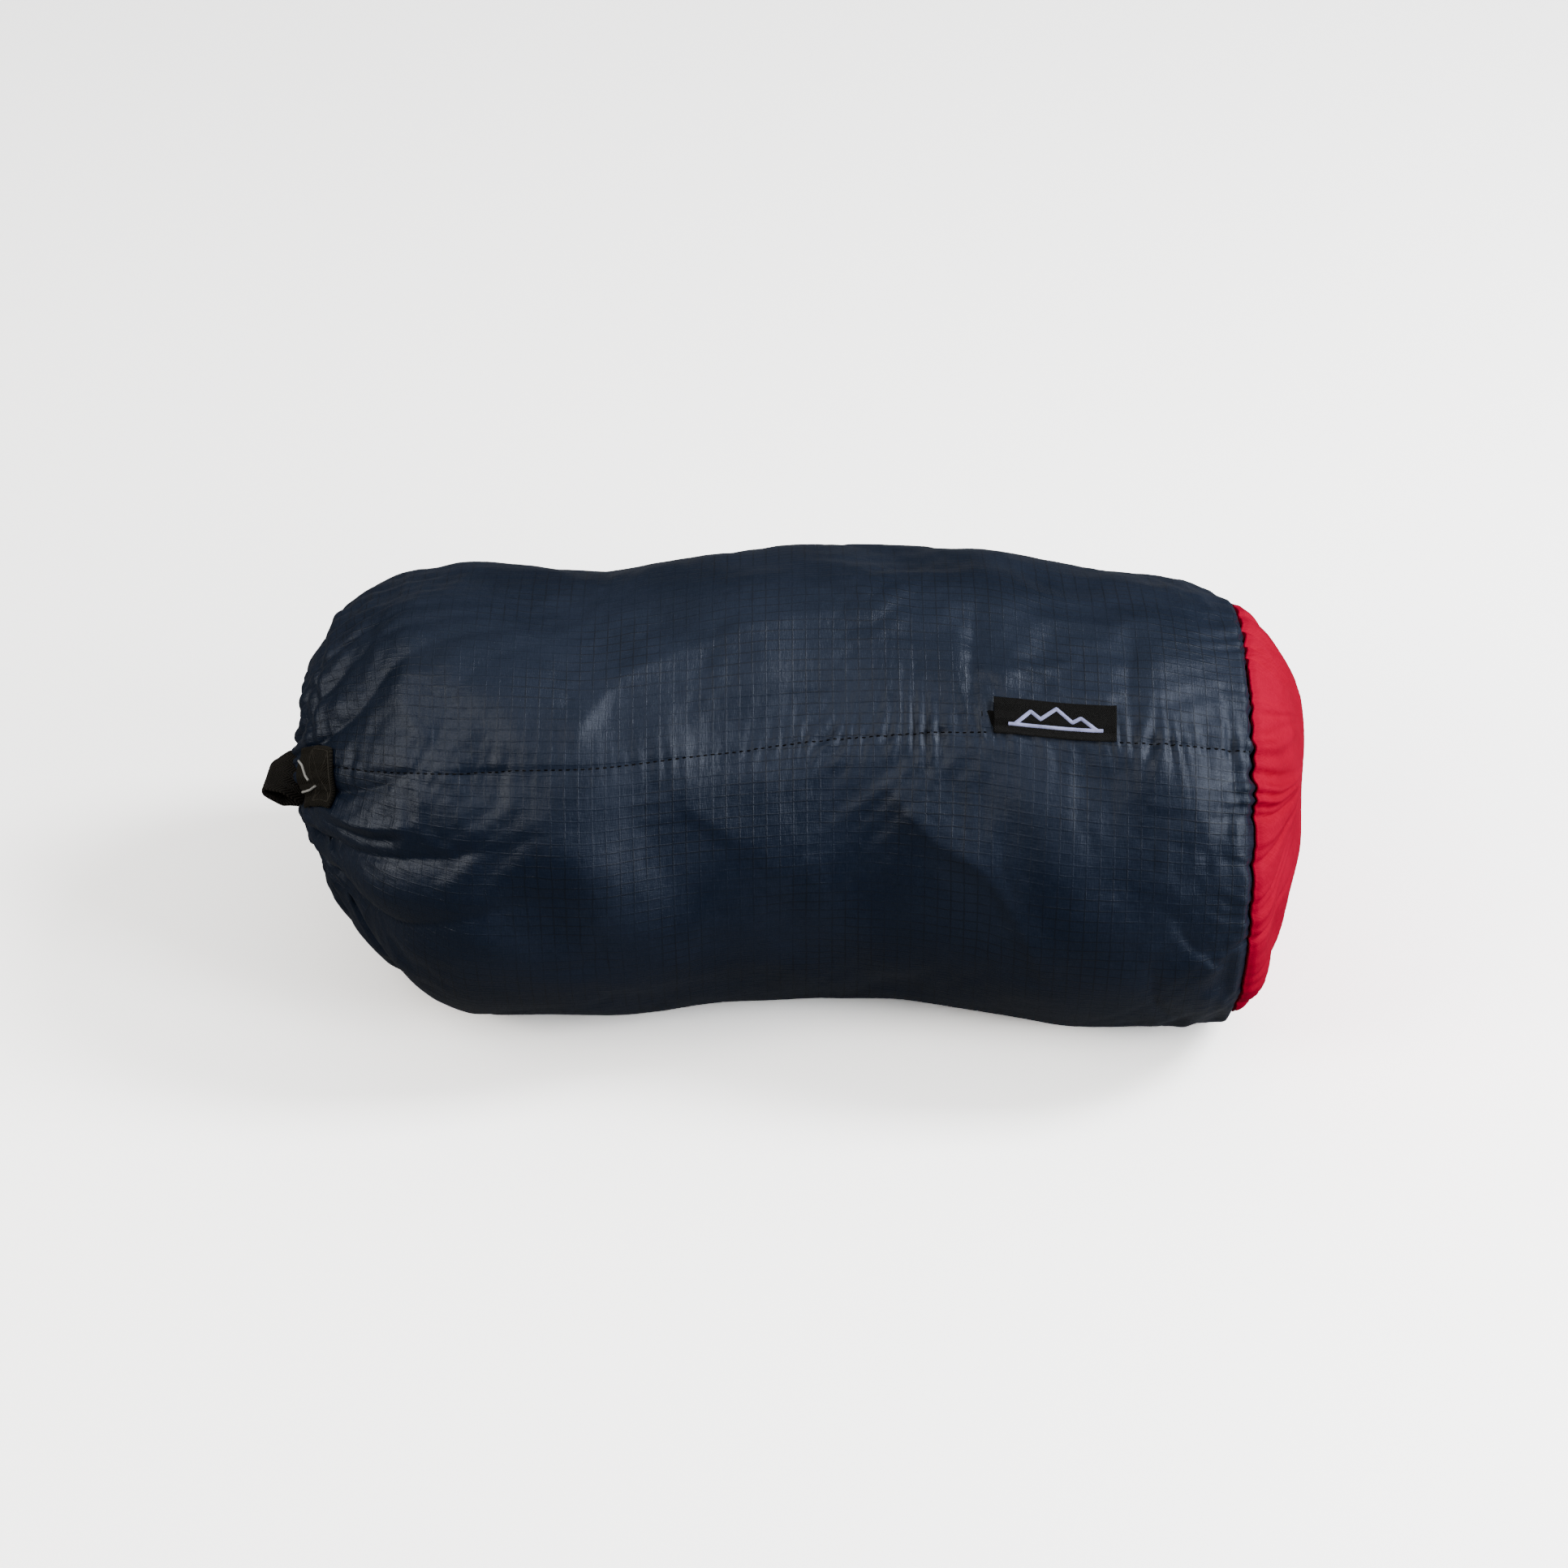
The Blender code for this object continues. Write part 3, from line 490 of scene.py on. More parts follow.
def simulate(rows, angles, count):
    """Drape slightly too much cloth over the contents and return how far each point of the skin moved."""
    line = blend_into_hem(profile(rows, SIM_ROWS, PROFILE_SOFTNESS))
    turns = angles[::SIM_STEP]
    start = settle(profile_points(line, turns))
    angle = np.broadcast_to(turns[None, :], start.shape[:2])
    grey, _, _ = start_material("simulated", 0.5)
    cloth = grid_object("simulated_cloth", start, grey)
    inside = grid_object("simulated_contents", contents(start, grid_normals(start)), grey)
    held = pins(line[:, 0][:, None], angle, line[:, 1][:, None], line[:, 2][:, None]).ravel()
    group = cloth.vertex_groups.new(name="held")
    for index in np.nonzero(held > 0.02)[0]:
        group.add([int(index)], float(held[index]), "REPLACE")
    inside.modifiers.new("solid", "COLLISION")
    inside.collision.thickness_outer = 0.0006
    inside.collision.cloth_friction = 18.0
    modifier = cloth.modifiers.new("cloth", "CLOTH")
    settings = modifier.settings
    settings.quality = 6
    settings.mass = 0.06
    settings.tension_stiffness = settings.compression_stiffness = 12.0
    settings.shear_stiffness = 6.0
    settings.bending_stiffness = 0.04
    settings.tension_damping = settings.compression_damping = 12.0
    settings.shrink_min = settings.shrink_max = SIM_EXCESS
    settings.vertex_group_mass = "held"
    settings.pin_stiffness = 2.0
    settings.use_pressure = True
    settings.uniform_pressure_force = 0.35
    modifier.collision_settings.distance_min = 0.0006
    modifier.collision_settings.collision_quality = 3
    modifier.point_cache.frame_end = SIM_FRAMES
    scene = bpy.context.scene
    for frame_number in range(1, SIM_FRAMES + 1):
        scene.frame_set(frame_number)
    shape = cloth.evaluated_get(bpy.context.evaluated_depsgraph_get()).to_mesh()
    moved = np.zeros(len(shape.vertices) * 3)
    shape.vertices.foreach_get("co", moved)
    moved = moved.reshape(start.shape) / MM - start
    for obj in (cloth, inside):
        bpy.data.objects.remove(obj, do_unlink=True)
    scene.frame_set(1)
    size = np.linalg.norm(moved, axis=-1, keepdims=True)
    moved *= np.minimum(1.0, SIM_LIMIT / np.maximum(size, 1e-9))
    return enlarge(moved, count)


def enlarge(moved, count):
    """Carry the coarse grid's movement over to the fine grid, smoothly."""
    rows = np.linspace(0.0, len(moved) - 1.0, count)
    columns = np.arange(COLUMNS) / SIM_STEP
    width = moved.shape[1]
    low = np.minimum(rows.astype(int), len(moved) - 2)
    part = (rows - low)[:, None, None]
    tall = moved[low] * (1.0 - part) + moved[low + 1] * part
    left = columns.astype(int) % width
    share = (columns % 1.0)[None, :, None]
    wide = tall[:, left] * (1.0 - share) + tall[:, (left + 1) % width] * share
    for _ in range(2):
        wide = 0.25 * np.roll(wide, 1, axis=1) + 0.5 * wide + 0.25 * np.roll(wide, -1, axis=1)
        wide[1:-1] = 0.25 * wide[:-2] + 0.5 * wide[1:-1] + 0.25 * wide[2:]
    return wide


# ---------------------------------------------------------------- meshes

def new_object(name, mesh, material):
    obj = bpy.data.objects.new(name, mesh)
    bpy.context.scene.collection.objects.link(obj)
    mesh.materials.append(material)
    mesh.polygons.foreach_set("use_smooth", np.ones(len(mesh.polygons), bool))
    mesh.update()
    return obj


def attach(obj, body, stands_for=None):
    """Let a piece ride on its body, in place of the CAD node it stands for."""
    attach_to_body(obj, body)
    if stands_for:
        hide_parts(stands_for)


def listed_object(name, vertices, faces, material):
    """A mesh from lists of places in millimetres and faces."""
    mesh = bpy.data.meshes.new(name)
    mesh.from_pydata((np.array(vertices) * MM).tolist(), [], faces)
    return new_object(name, mesh, material)


def grid_object(name, points, material, uv=None, pole=None):
    """A closed grid of points in millimetres as a mesh; uv is in metres, with one column more."""
    rows, columns = points.shape[:2]
    vertices = points.reshape(-1, 3) * MM
    row, column = np.meshgrid(np.arange(rows - 1), np.arange(columns), indexing="ij")
    following = (column + 1) % columns
    quads = np.stack((row * columns + column, row * columns + following,
                      (row + 1) * columns + following, (row + 1) * columns + column), axis=-1).reshape(-1, 4)
    faces = quads.tolist()
    if pole is not None:
        vertices = np.vstack((vertices, np.array(pole)[None, :] * MM))
        last = (rows - 1) * columns
        faces += [[last + step, last + (step + 1) % columns, len(vertices) - 1] for step in range(columns)]
    mesh = bpy.data.meshes.new(name)
    mesh.from_pydata(vertices.tolist(), [], faces)
    if uv is not None:
        corner = np.stack((uv[row, column], uv[row, column + 1],
                           uv[row + 1, column + 1], uv[row + 1, column]), axis=-2).reshape(-1, 2)
        if pole is not None:
            steps = np.arange(columns)
            middle = np.repeat(uv[-1:, 0], columns, axis=0)
            fan = np.stack((uv[-1, steps], uv[-1, steps + 1], middle), axis=-2)
            corner = np.vstack((corner, fan.reshape(-1, 2)))
        layer = mesh.uv_layers.new(name="cloth")
        layer.data.foreach_set("uv", corner.astype(np.float32).ravel())
    return new_object(name, mesh, material)


def sweep(path, radius, sides, closed=False, relief=None):
    """Rings of points round a path. relief(along, angle) gives what is added to the radius."""
    path = np.asarray(path, float)
    if closed:
        tangent = np.roll(path, -1, axis=0) - np.roll(path, 1, axis=0)
    else:
        tangent = np.gradient(path, axis=0)
    tangent /= np.linalg.norm(tangent, axis=1, keepdims=True)
    up = np.array((0.0, 0.0, 1.0)) if abs(tangent[0][2]) < 0.9 else np.array((1.0, 0.0, 0.0))
    side = np.cross(tangent[0], up)
    angles = np.arange(sides) * TURN / sides
    rings = []
    for place, forward, along in zip(path, tangent, distances(path)):
        side = side - forward * np.dot(side, forward)
        side /= np.linalg.norm(side)
        other = np.cross(forward, side)
        reach = radius + (relief(along, angles) if relief else np.zeros(sides))
        ring = np.cos(angles)[:, None] * side + np.sin(angles)[:, None] * other
        rings.append(place + ring * np.broadcast_to(reach, (sides,))[:, None])
    return np.array(rings)


def capped(rings):
    """Close a tube's ends: three rings at each end that shrink to its middle."""
    first, last = rings[0].mean(axis=0), rings[-1].mean(axis=0)
    start = [first + (rings[0] - first) * part for part in (0.02, 0.5, 0.85)]
    end = [last + (rings[-1] - last) * part for part in (0.85, 0.5, 0.02)]
    return np.concatenate((np.array(start), rings, np.array(end)))


def tube(name, path, radius, sides, material, closed=False, relief=None):
    """A capped tube along a path."""
    return grid_object(name, capped(sweep(path, radius, sides, closed, relief)), material)


def resample(path, step):
    """The path again, as points about one step apart."""
    path = np.asarray(path, float)
    length = distances(path)
    even = np.linspace(0.0, length[-1], max(2, int(length[-1] / step) + 1))
    return np.stack([np.interp(even, length, path[:, i]) for i in range(path.shape[1])], axis=1)


# ---------------------------------------------------------------- materials

def node(tree, kind, values=None, **settings):
    """A shader node; values are numbers, or sockets to link, by input name or number."""
    made = tree.nodes.new(kind)
    for key, value in settings.items():
        setattr(made, key, value)
    for key, value in (values or {}).items():
        if isinstance(value, bpy.types.NodeSocket):
            tree.links.new(value, made.inputs[key])
        else:
            made.inputs[key].default_value = value
    return made


def maths(tree, operation, first, second=0.0):
    """One sum on two values."""
    return node(tree, "ShaderNodeMath", {0: first, 1: second}, operation=operation).outputs[0]


def ramp(tree, value, low, high, to_low=0.0, to_high=1.0):
    """A smooth step from to_low at low to to_high at high."""
    made = node(tree, "ShaderNodeMapRange", {0: value, 1: low, 2: high, 3: to_low, 4: to_high},
                interpolation_type="SMOOTHSTEP")
    return made.outputs[0]


def noise(tree, vector, scale, detail=3.0, roughness=0.55):
    values = {"Vector": vector, "Scale": scale, "Detail": detail, "Roughness": roughness}
    return node(tree, "ShaderNodeTexNoise", values).outputs["Fac"]


def stretched(tree, vector, scale):
    return node(tree, "ShaderNodeMapping", {"Vector": vector, "Scale": scale}).outputs[0]


def blend(tree, factor, first, second):
    """A mix of two colours, each a socket or three numbers."""
    made = node(tree, "ShaderNodeMix", {0: factor}, data_type="RGBA")
    for index, value in ((6, first), (7, second)):
        if isinstance(value, bpy.types.NodeSocket):
            tree.links.new(value, made.inputs[index])
        else:
            made.inputs[index].default_value = (*value, 1.0)
    return made.outputs[2]


def start_material(name, roughness, sheen=0.0, sheen_tint=(1.0, 1.0, 1.0), metallic=0.0):
    material = bpy.data.materials.new(name)
    material.use_nodes = True
    tree = material.node_tree
    shader = tree.nodes["Principled BSDF"]
    shader.inputs["Roughness"].default_value = roughness
    shader.inputs["Metallic"].default_value = metallic
    shader.inputs["Sheen Weight"].default_value = sheen
    shader.inputs["Sheen Roughness"].default_value = 0.4
    shader.inputs["Sheen Tint"].default_value = (*sheen_tint, 1.0)
    return material, tree, shader


def add_bump(tree, shader, heights):
    """Chain bumps, each a (height socket, distance in metres) pair."""
    normal = None
    for height, distance in heights:
        values = {"Height": height, "Distance": distance, "Strength": 1.0}
        if normal is not None:
            values["Normal"] = normal
        normal = node(tree, "ShaderNodeBump", values).outputs[0]
    tree.links.new(normal, shader.inputs["Normal"])


def thread_lines(tree, coordinate, pitch, width):
    """1 on the thicker ripstop threads, 0 between them."""
    distance = maths(tree, "PINGPONG", coordinate, 0.5 * pitch)
    return ramp(tree, distance, 0.25 * width, 0.75 * width, 1.0, 0.0)


def cloth_material(name, dark, light, line, roughness, sheen, tint, gloss_tint, grid=True, specular=0.5):
    """Woven nylon: heathered colour, fine weave, wrinkled sheen, and a grid of thicker threads."""
    material, tree, shader = start_material(name, roughness, sheen, tint)
    uv = node(tree, "ShaderNodeUVMap", uv_map="cloth").outputs[0]
    place = node(tree, "ShaderNodeTexCoord").outputs["Object"]
    parts = node(tree, "ShaderNodeSeparateXYZ", {0: uv}).outputs
    warp = noise(tree, stretched(tree, uv, (350.0, 3800.0, 1.0)), 1.0, 2.0)
    weft = noise(tree, stretched(tree, uv, (3800.0, 350.0, 1.0)), 1.0, 2.0)
    heather = maths(tree, "ADD", warp, weft)
    patches = noise(tree, place, 26.0, 4.0, 0.6)
    tone = maths(tree, "ADD", ramp(tree, heather, 0.72, 1.28, -0.35, 0.35), ramp(tree, patches, 0.3, 0.7))
    colour = blend(tree, tone, dark, light)
    crumple = maths(tree, "ADD", noise(tree, stretched(tree, uv, (90.0, 420.0, 1.0)), 1.0, 4.0, 0.6),
                    noise(tree, stretched(tree, uv, (420.0, 70.0, 1.0)), 1.0, 4.0, 0.6))
    if grid:
        across = thread_lines(tree, parts[0], RIPSTOP_CELL[0], RIPSTOP_THREAD)
        along = thread_lines(tree, parts[1], RIPSTOP_CELL[1], RIPSTOP_THREAD)
        threads = maths(tree, "MAXIMUM", across, along)
        worn = ramp(tree, noise(tree, place, 38.0, 3.0), 0.38, 0.62, 0.08, 0.7)
        shown = maths(tree, "MULTIPLY", threads, worn)
        colour = blend(tree, shown, colour, line)
    tree.links.new(colour, shader.inputs["Base Color"])
    rough = ramp(tree, maths(tree, "ADD", patches, maths(tree, "MULTIPLY", heather, 0.25)), 0.5, 1.0,
                 roughness - 0.07, roughness + 0.1)
    tree.links.new(rough, shader.inputs["Roughness"])
    shader.inputs["Specular IOR Level"].default_value = specular
    shader.inputs["Specular Tint"].default_value = (*gloss_tint, 1.0)
    bumps = [(crumple, 0.0002), (heather, 0.00008)]
    if grid:
        bumps.append((threads, 0.00005))
    add_bump(tree, shader, bumps)
    return material


def webbing_material(name, dark, light, rib=0.0011, roughness=0.75):
    """Ribbed webbing: a herringbone of coarse yarns along the strap."""
    material, tree, shader = start_material(name, roughness, 0.04, (0.5, 0.48, 0.45))
    shader.inputs["Specular IOR Level"].default_value = 0.2
    uv = node(tree, "ShaderNodeUVMap", uv_map="cloth").outputs[0]
    parts = node(tree, "ShaderNodeSeparateXYZ", {0: uv}).outputs
    zigzag = maths(tree, "PINGPONG", parts[1], 0.0024)
    slanted = maths(tree, "ADD", parts[0], zigzag)
    yarns = ramp(tree, maths(tree, "PINGPONG", slanted, 0.5 * rib), 0.0, 0.5 * rib)
    grain = noise(tree, stretched(tree, uv, (2600.0, 1400.0, 1.0)), 1.0, 3.0)
    tone = maths(tree, "MULTIPLY", yarns, ramp(tree, grain, 0.3, 0.7, 0.4, 1.0))
    tree.links.new(blend(tree, tone, dark, light), shader.inputs["Base Color"])
    add_bump(tree, shader, [(yarns, 0.00035), (grain, 0.0001)])
    return material


def plain_material(name, colour, roughness, metallic=0.0, scale=900.0, depth=0.00005, sheen=0.0,
                   specular=0.5):
    """Plastic, metal or yarn with its own grain, a quarter darker and lighter in patches."""
    material, tree, shader = start_material(name, roughness, sheen, metallic=metallic)
    shader.inputs["Specular IOR Level"].default_value = specular
    place = node(tree, "ShaderNodeTexCoord").outputs["Object"]
    grain = noise(tree, place, scale, 4.0)
    wear = noise(tree, place, 0.12 * scale, 4.0)
    dark = tuple(part * 0.75 for part in colour)
    light = tuple(min(1.0, part * 1.25 + 0.01) for part in colour)
    tree.links.new(blend(tree, ramp(tree, wear, 0.3, 0.7), dark, light), shader.inputs["Base Color"])
    rough = ramp(tree, wear, 0.3, 0.7, roughness - 0.06, roughness + 0.1)
    tree.links.new(rough, shader.inputs["Roughness"])
    add_bump(tree, shader, [(grain, depth)])
    return material


# ---------------------------------------------------------------- the sack

def make_sack(navy, red):
    """The navy body and the red bottom panel. Returns the profile and the body's finished points."""
    body_rows = read_sections("sack_body")
    base_rows = read_sections("sack_base")
    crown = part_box("sack_base")[1].x / MM
    angles = column_angles(COLUMNS)
    line = blend_into_hem(profile(body_rows, BODY_ROWS, PROFILE_SOFTNESS))
    length, x = line[:, 0][:, None], line[:, 1][:, None]
    radius = line[:, 2][:, None]
    angle = np.broadcast_to(angles[None, :], (len(line), COLUMNS))
    places = profile_points(line, angles)
    to_base = line[-1, 0] - length
    relief = broad_relief(places, x, angle) * smooth(length / 30.0) * smooth(to_base / 14.0)
    relief = relief + seam_relief(x, angle, radius) * smooth(length / 12.0)
    relief = relief + mouth_relief(length, angle)
    relief = relief + base_edge_relief(to_base, angle, 2.2, 13.0)
    drape = np.zeros(places.shape)
    drape = simulate(body_rows, angles, len(line))
    drape[..., 0] += LIP_BACK * near_mouth(radius) * low_side(angle % TURN)
    points = skin_points(line, angles, relief, drape)
    under_hem = inward_rows(points[0], ((0.72, 2.2), (0.88, 0.6)))
    under_base = inward_rows(points[-1], ((0.985, 0.5), (0.93, 0.2)))
    uv = cloth_uv(length, angles)
    step = np.array((0.002, 0.0))
    uv = np.vstack((uv[:1] - 2.0 * step, uv[:1] - step, uv, uv[-1:] + step, uv[-1:] + 2.0 * step))
    body = grid_object("sack_body_cloth", np.concatenate((under_hem, points, under_base)), navy, uv)
    attach(body, "sack", "sack_body")
    make_base(base_rows, crown, angles, red)
    return line, points


def cloth_uv(length, angles):
    """Lengths along the sack and round it, so that the cloth's grid has one size all over."""
    turn = np.append(angles, angles[0] + TURN)[None, :]
    along = np.broadcast_to(length, (len(length), turn.size))
    around = np.broadcast_to(turn * REFERENCE_RADIUS, along.shape)
    return np.stack((along, around), axis=-1) * MM


def inward_rows(edge, steps):
    """Rows that carry an open edge inwards, so that no raw edge shows: (scale, move along x) for each."""
    centre = edge.mean(axis=0)
    rows = []
    for scale, forward in steps:
        row = centre + (edge - centre) * scale
        row[:, 0] += forward
        rows.append(row)
    return np.array(rows)


def make_base(rows, crown, angles, red):
    """The padded bottom panel, from the round seam to its crown."""
    top = np.array([(crown, 0.8, rows[-1][2] + 1.0, rows[-1][3] + 1.0)])
    line = profile(np.vstack((rows, top)), BASE_ROWS, PROFILE_SOFTNESS)
    length = line[:, 0][:, None]
    angle = np.broadcast_to(angles[None, :], (len(line), COLUMNS))
    places = profile_points(line, angles)
    inner = smooth((line[-1, 0] - length) / 30.0)
    relief = 0.6 * waves(places, 45.0, 110.0, seed=51) + 0.3 * waves(places, 18.0, 40.0, seed=52) * inner
    low_right = 1.8 * bump(angle, CREASED_SIDE, math.radians(32.0))
    relief = (relief - 2.0 + low_right * inner) * smooth(length / 20.0)
    gathers = base_edge_relief(length, angle, 2.4 + 3.0 * smooth(length / 8.0), 19.0)
    relief = relief + gathers * smooth((line[-1, 0] - length) / 60.0)
    points = skin_points(line, angles, relief)
    uv = np.stack((points[..., 1], points[..., 2]), axis=-1) * MM
    uv = np.concatenate((uv, uv[:, :1]), axis=1)
    points = np.concatenate((inward_rows(points[0], ((0.95, -0.2),)), points))
    uv = np.concatenate((uv[:1], uv))
    base = grid_object("sack_base_cloth", points, red, uv, pole=points[-1].mean(axis=0))
    attach(base, "sack", "sack_base")


def between(grid, down, across):
    """A blend of four grid points; each way is a lower number, an upper number and the upper one's share."""
    (r0, r1, fr), (c0, c1, fc) = down, across
    low = grid[r0, c0] * (1 - fc) + grid[r0, c1] * fc
    high = grid[r1, c0] * (1 - fc) + grid[r1, c1] * fc
    return low * (1 - fr) + high * fr


def surface_point(line, points, x, angle, lift=0.0):
    """The point of the finished skin at a place, raised along its normal."""
    row = np.interp(x, line[:, 1], np.arange(len(line)))
    angles = column_angles(COLUMNS)
    turn = angles[0] + (angle - angles[0]) % TURN
    column = np.interp(turn, np.append(angles, angles[0] + TURN), np.arange(COLUMNS + 1))
    r0, c0 = int(row), int(column) % COLUMNS
    r1, c1 = min(r0 + 1, len(line) - 1), (int(column) + 1) % COLUMNS
    place = between(points, (r0, r1, row - int(row)), (c0, c1, column - int(column)))
    down = points[r1, c0] - points[r0, c0]
    across = points[r0, c1] - points[r0, c0]
    normal = np.cross(down, across)
    normal /= max(np.linalg.norm(normal), 1e-9)
    centre = points[r0].mean(axis=0)
    if np.dot(normal, place - centre) < 0.0:
        normal = -normal
    return place + normal * lift, normal


def make_stitches(line, points, thread):
    """The long seam's thread: short raised dashes, dark as the thread is."""
    vertices, faces = [], []
    x = STITCHES_FROM
    while x < STITCHES_TO:
        if not LABEL_START - 1.0 < x < LABEL_START + LABEL_LENGTH:
            add_stitch(line, points, x, vertices, faces)
        x += STITCH_PITCH
    attach(listed_object("long_seam_thread", vertices, faces, thread), "sack")


def add_stitch(line, points, x, vertices, faces):
    """One stitch: a pointed dash along the seam, six-sided and sunk at both ends."""
    sides = 6
    first = len(vertices)
    for part, swell_by, lift in STITCH_RINGS:
        place_x = x + part * STITCH_LENGTH
        place, normal = surface_point(line, points, place_x, float(seam_angle(place_x)), lift)
        across = np.cross(normal, (1.0, 0.0, 0.0))
        across /= np.linalg.norm(across)
        for side in range(sides):
            turn = TURN * side / sides
            offset = across * math.cos(turn) * STITCH_RADIUS[0] + normal * math.sin(turn) * STITCH_RADIUS[1]
            vertices.append(place + offset * swell_by)
    for ring in range(len(STITCH_RINGS) - 1):
        for side in range(sides):
            a = first + ring * sides + side
            b = first + ring * sides + (side + 1) % sides
            faces.append((a, b, b + sides, a + sides))
    faces.append(tuple(first + side for side in range(sides))[::-1])
    faces.append(tuple(first + (len(STITCH_RINGS) - 1) * sides + side for side in range(sides)))


# ---------------------------------------------------------------- hem and cord

def mouth_place(x, out, along=0.0):
    """A place by the cord's exit: out from the middle of the mouth, and along the hem."""
    turn = math.radians(EXIT_ANGLE)
    y = MOUTH[1] + out * math.cos(turn) - along * math.sin(turn)
    z = MOUTH[2] + out * math.sin(turn) + along * math.cos(turn)
    return (x, y, z)


def hem_path(gap, steps):
    """Angles and places round the hem's middle, from one side of the cord's exit to the other."""
    start = math.radians(EXIT_ANGLE + gap)
    sweep_angle = math.radians(360.0 - 2.0 * gap)
    angle = start + sweep_angle * np.arange(steps + 1) / steps
    y = MOUTH[1] + HEM_RADIUS * np.cos(angle)
    z = MOUTH[2] + HEM_RADIUS * np.sin(angle)
    return angle, np.stack((np.full_like(angle, MOUTH[0]), y, z), 1)


def make_hem(navy):
    """The gathered tunnel round the mouth: the body's pleats run on over it."""
    angle, centres = hem_path(HEM_GAP_ANGLE, 420)
    sides = 24
    around = np.arange(sides) * TURN / sides
    under_strap = bump(angle % TURN, STRAP_ANGLE, 0.5)
    pleats = hem_pleats(angle) * (1.0 - 0.85 * under_strap) - 0.3 * under_strap
    ruffle = waves(on_circle(angle, PLEAT_RADIUS), 6.0, 16.0, seed=71)
    gap = smooth(np.minimum(angle - angle[0], angle[-1] - angle) / math.radians(7.0))
    rings = []
    for step, turn in enumerate(angle):
        out = np.array((0.0, math.cos(turn), math.sin(turn)))
        reach = HEM_TUBE_RADIUS * (0.42 + 0.58 * gap[step])
        front = np.clip(-np.cos(around) * 0.5 + 0.5, 0.0, 1.0)
        radial = reach + pleats[step] * (1.0 + 0.9 * np.sin(around)) * (0.6 + 0.4 * front)
        depth = radial * 0.86 * (1.0 - 0.5 * front * low_side(turn % TURN))
        ring = centres[step] + (np.cos(around) * depth)[:, None] * np.array((1.0, 0.0, 0.0))
        ring = ring + (np.sin(around) * radial)[:, None] * out
        ring[:, 0] += 0.3 * ruffle[step]
        rings.append(ring)
    points = np.array(rings)
    length = np.arange(len(points) + 0.0) / len(points) * TURN * HEM_RADIUS
    uv_around = np.arange(sides + 1) * TURN / sides * HEM_TUBE_RADIUS
    uv = np.stack(np.broadcast_arrays(length[:, None] * 1.5, uv_around[None, :]), axis=-1) * MM
    hem = grid_object("drawcord_channel_cloth", points, navy, uv)
    attach(hem, "sack", "drawcord_channel")


def cord_half(side):
    """One tail of the cord, from the knot through the lock and over the front into the hem."""
    path = [mouth_place(CORD_TURN_X, -CORD_IN_LOCK, side * CORD_PAIR_HALF),
            mouth_place(CORD_STRAIGHT_X, -CORD_IN_LOCK, side * CORD_PAIR_HALF)]
    for step in range(7):
        turn = math.radians(180.0 + 90.0 * step / 6)
        out = CORD_BEND - CORD_IN_LOCK + CORD_BEND * math.cos(turn)
        x = CORD_FRONT_X + CORD_BEND + CORD_BEND * math.sin(turn)
        path.append(mouth_place(x, out, side * CORD_PAIR_HALF))
    for x, out, along in CORD_INTO_HEM:
        path.append(mouth_place(x, out, side * along))
    return path


def make_cord(material):
    """One braided cord: knot, lock, over the front, round inside the hem and back."""
    _, ring = hem_path(CORD_GAP_ANGLE, 60)
    path = cord_half(1.0) + [tuple(place) for place in ring] + cord_half(-1.0)[::-1]
    path = soften(resample(path, 0.35), 8)

    def braid(along, angles):
        one = np.abs(np.sin(4.0 * angles + along * 1.9))
        other = np.abs(np.sin(4.0 * angles - along * 1.9))
        return 0.12 * np.maximum(one, other) - 0.1

    cord = tube("drawcord_braid", path, CORD_RADIUS, 16, material, relief=braid)
    attach(cord, "sack", "drawcord")
    attach(make_knot(material), "sack")


def make_knot(material):
    """The knot that keeps the lock on the cord: a trefoil of the same braid."""
    centre = np.array(mouth_place(CORD_TURN_X, -CORD_IN_LOCK))
    turn = np.linspace(0.0, TURN, 181)[:-1]
    x = 1.52 * np.sin(3.0 * turn)
    y = 0.9 * (np.sin(turn) + 1.6 * np.sin(2.0 * turn))
    z = 0.9 * (np.cos(turn) - 1.6 * np.cos(2.0 * turn))
    path = centre + np.stack((x, y, z), axis=1)

    def braid(along, angles):
        return 0.1 * np.abs(np.sin(3.0 * angles + along * 2.2)) - 0.05

    return tube("drawcord_knot", path, KNOT_RADIUS, 12, material, closed=True, relief=braid)


# ---------------------------------------------------------------- webbing loop and anchor

def band(rows, normals, thickness):
    """A closed band: rows of points across it, doubled to two faces with rounded edges."""
    edge = np.linspace(-1.0, 1.0, rows.shape[1])
    half = 0.5 * thickness * np.sqrt(np.clip(1.0 - (np.abs(edge) ** 14), 0.05, 1.0))
    top = rows + normals * half[None, :, None]
    low = rows - normals * half[None, :, None]
    return np.concatenate((top, low[:, ::-1]), axis=1)


def band_uv(rows):
    """Lengths along and across a band, for both of its faces."""
    along = distances(rows.mean(axis=1))
    across = distances(rows[0])
    both = np.concatenate((across, across[::-1], across[:1]))
    return np.stack(np.broadcast_arrays(along[:, None], both[None, :]), axis=-1) * MM


def row_normals(rows):
    """Unit normals of an open grid of points."""
    down = np.gradient(rows, axis=0)
    across = np.gradient(rows, axis=1)
    normal = np.cross(down, across)
    return normal / np.maximum(np.linalg.norm(normal, axis=-1, keepdims=True), 1e-9)


def closed_band(name, rows, thickness, material):
    """A band of webbing or woven label as a mesh, with both of its ends closed flat."""
    points = band(rows, row_normals(rows), thickness)
    uv = band_uv(rows)
    start = 0.5 * (points[:1] + points[:1, ::-1])
    end = 0.5 * (points[-1:] + points[-1:, ::-1])
    points = np.concatenate((start, points, end))
    uv = np.concatenate((uv[:1], uv, uv[-1:]))
    return grid_object(name, points, material, uv)


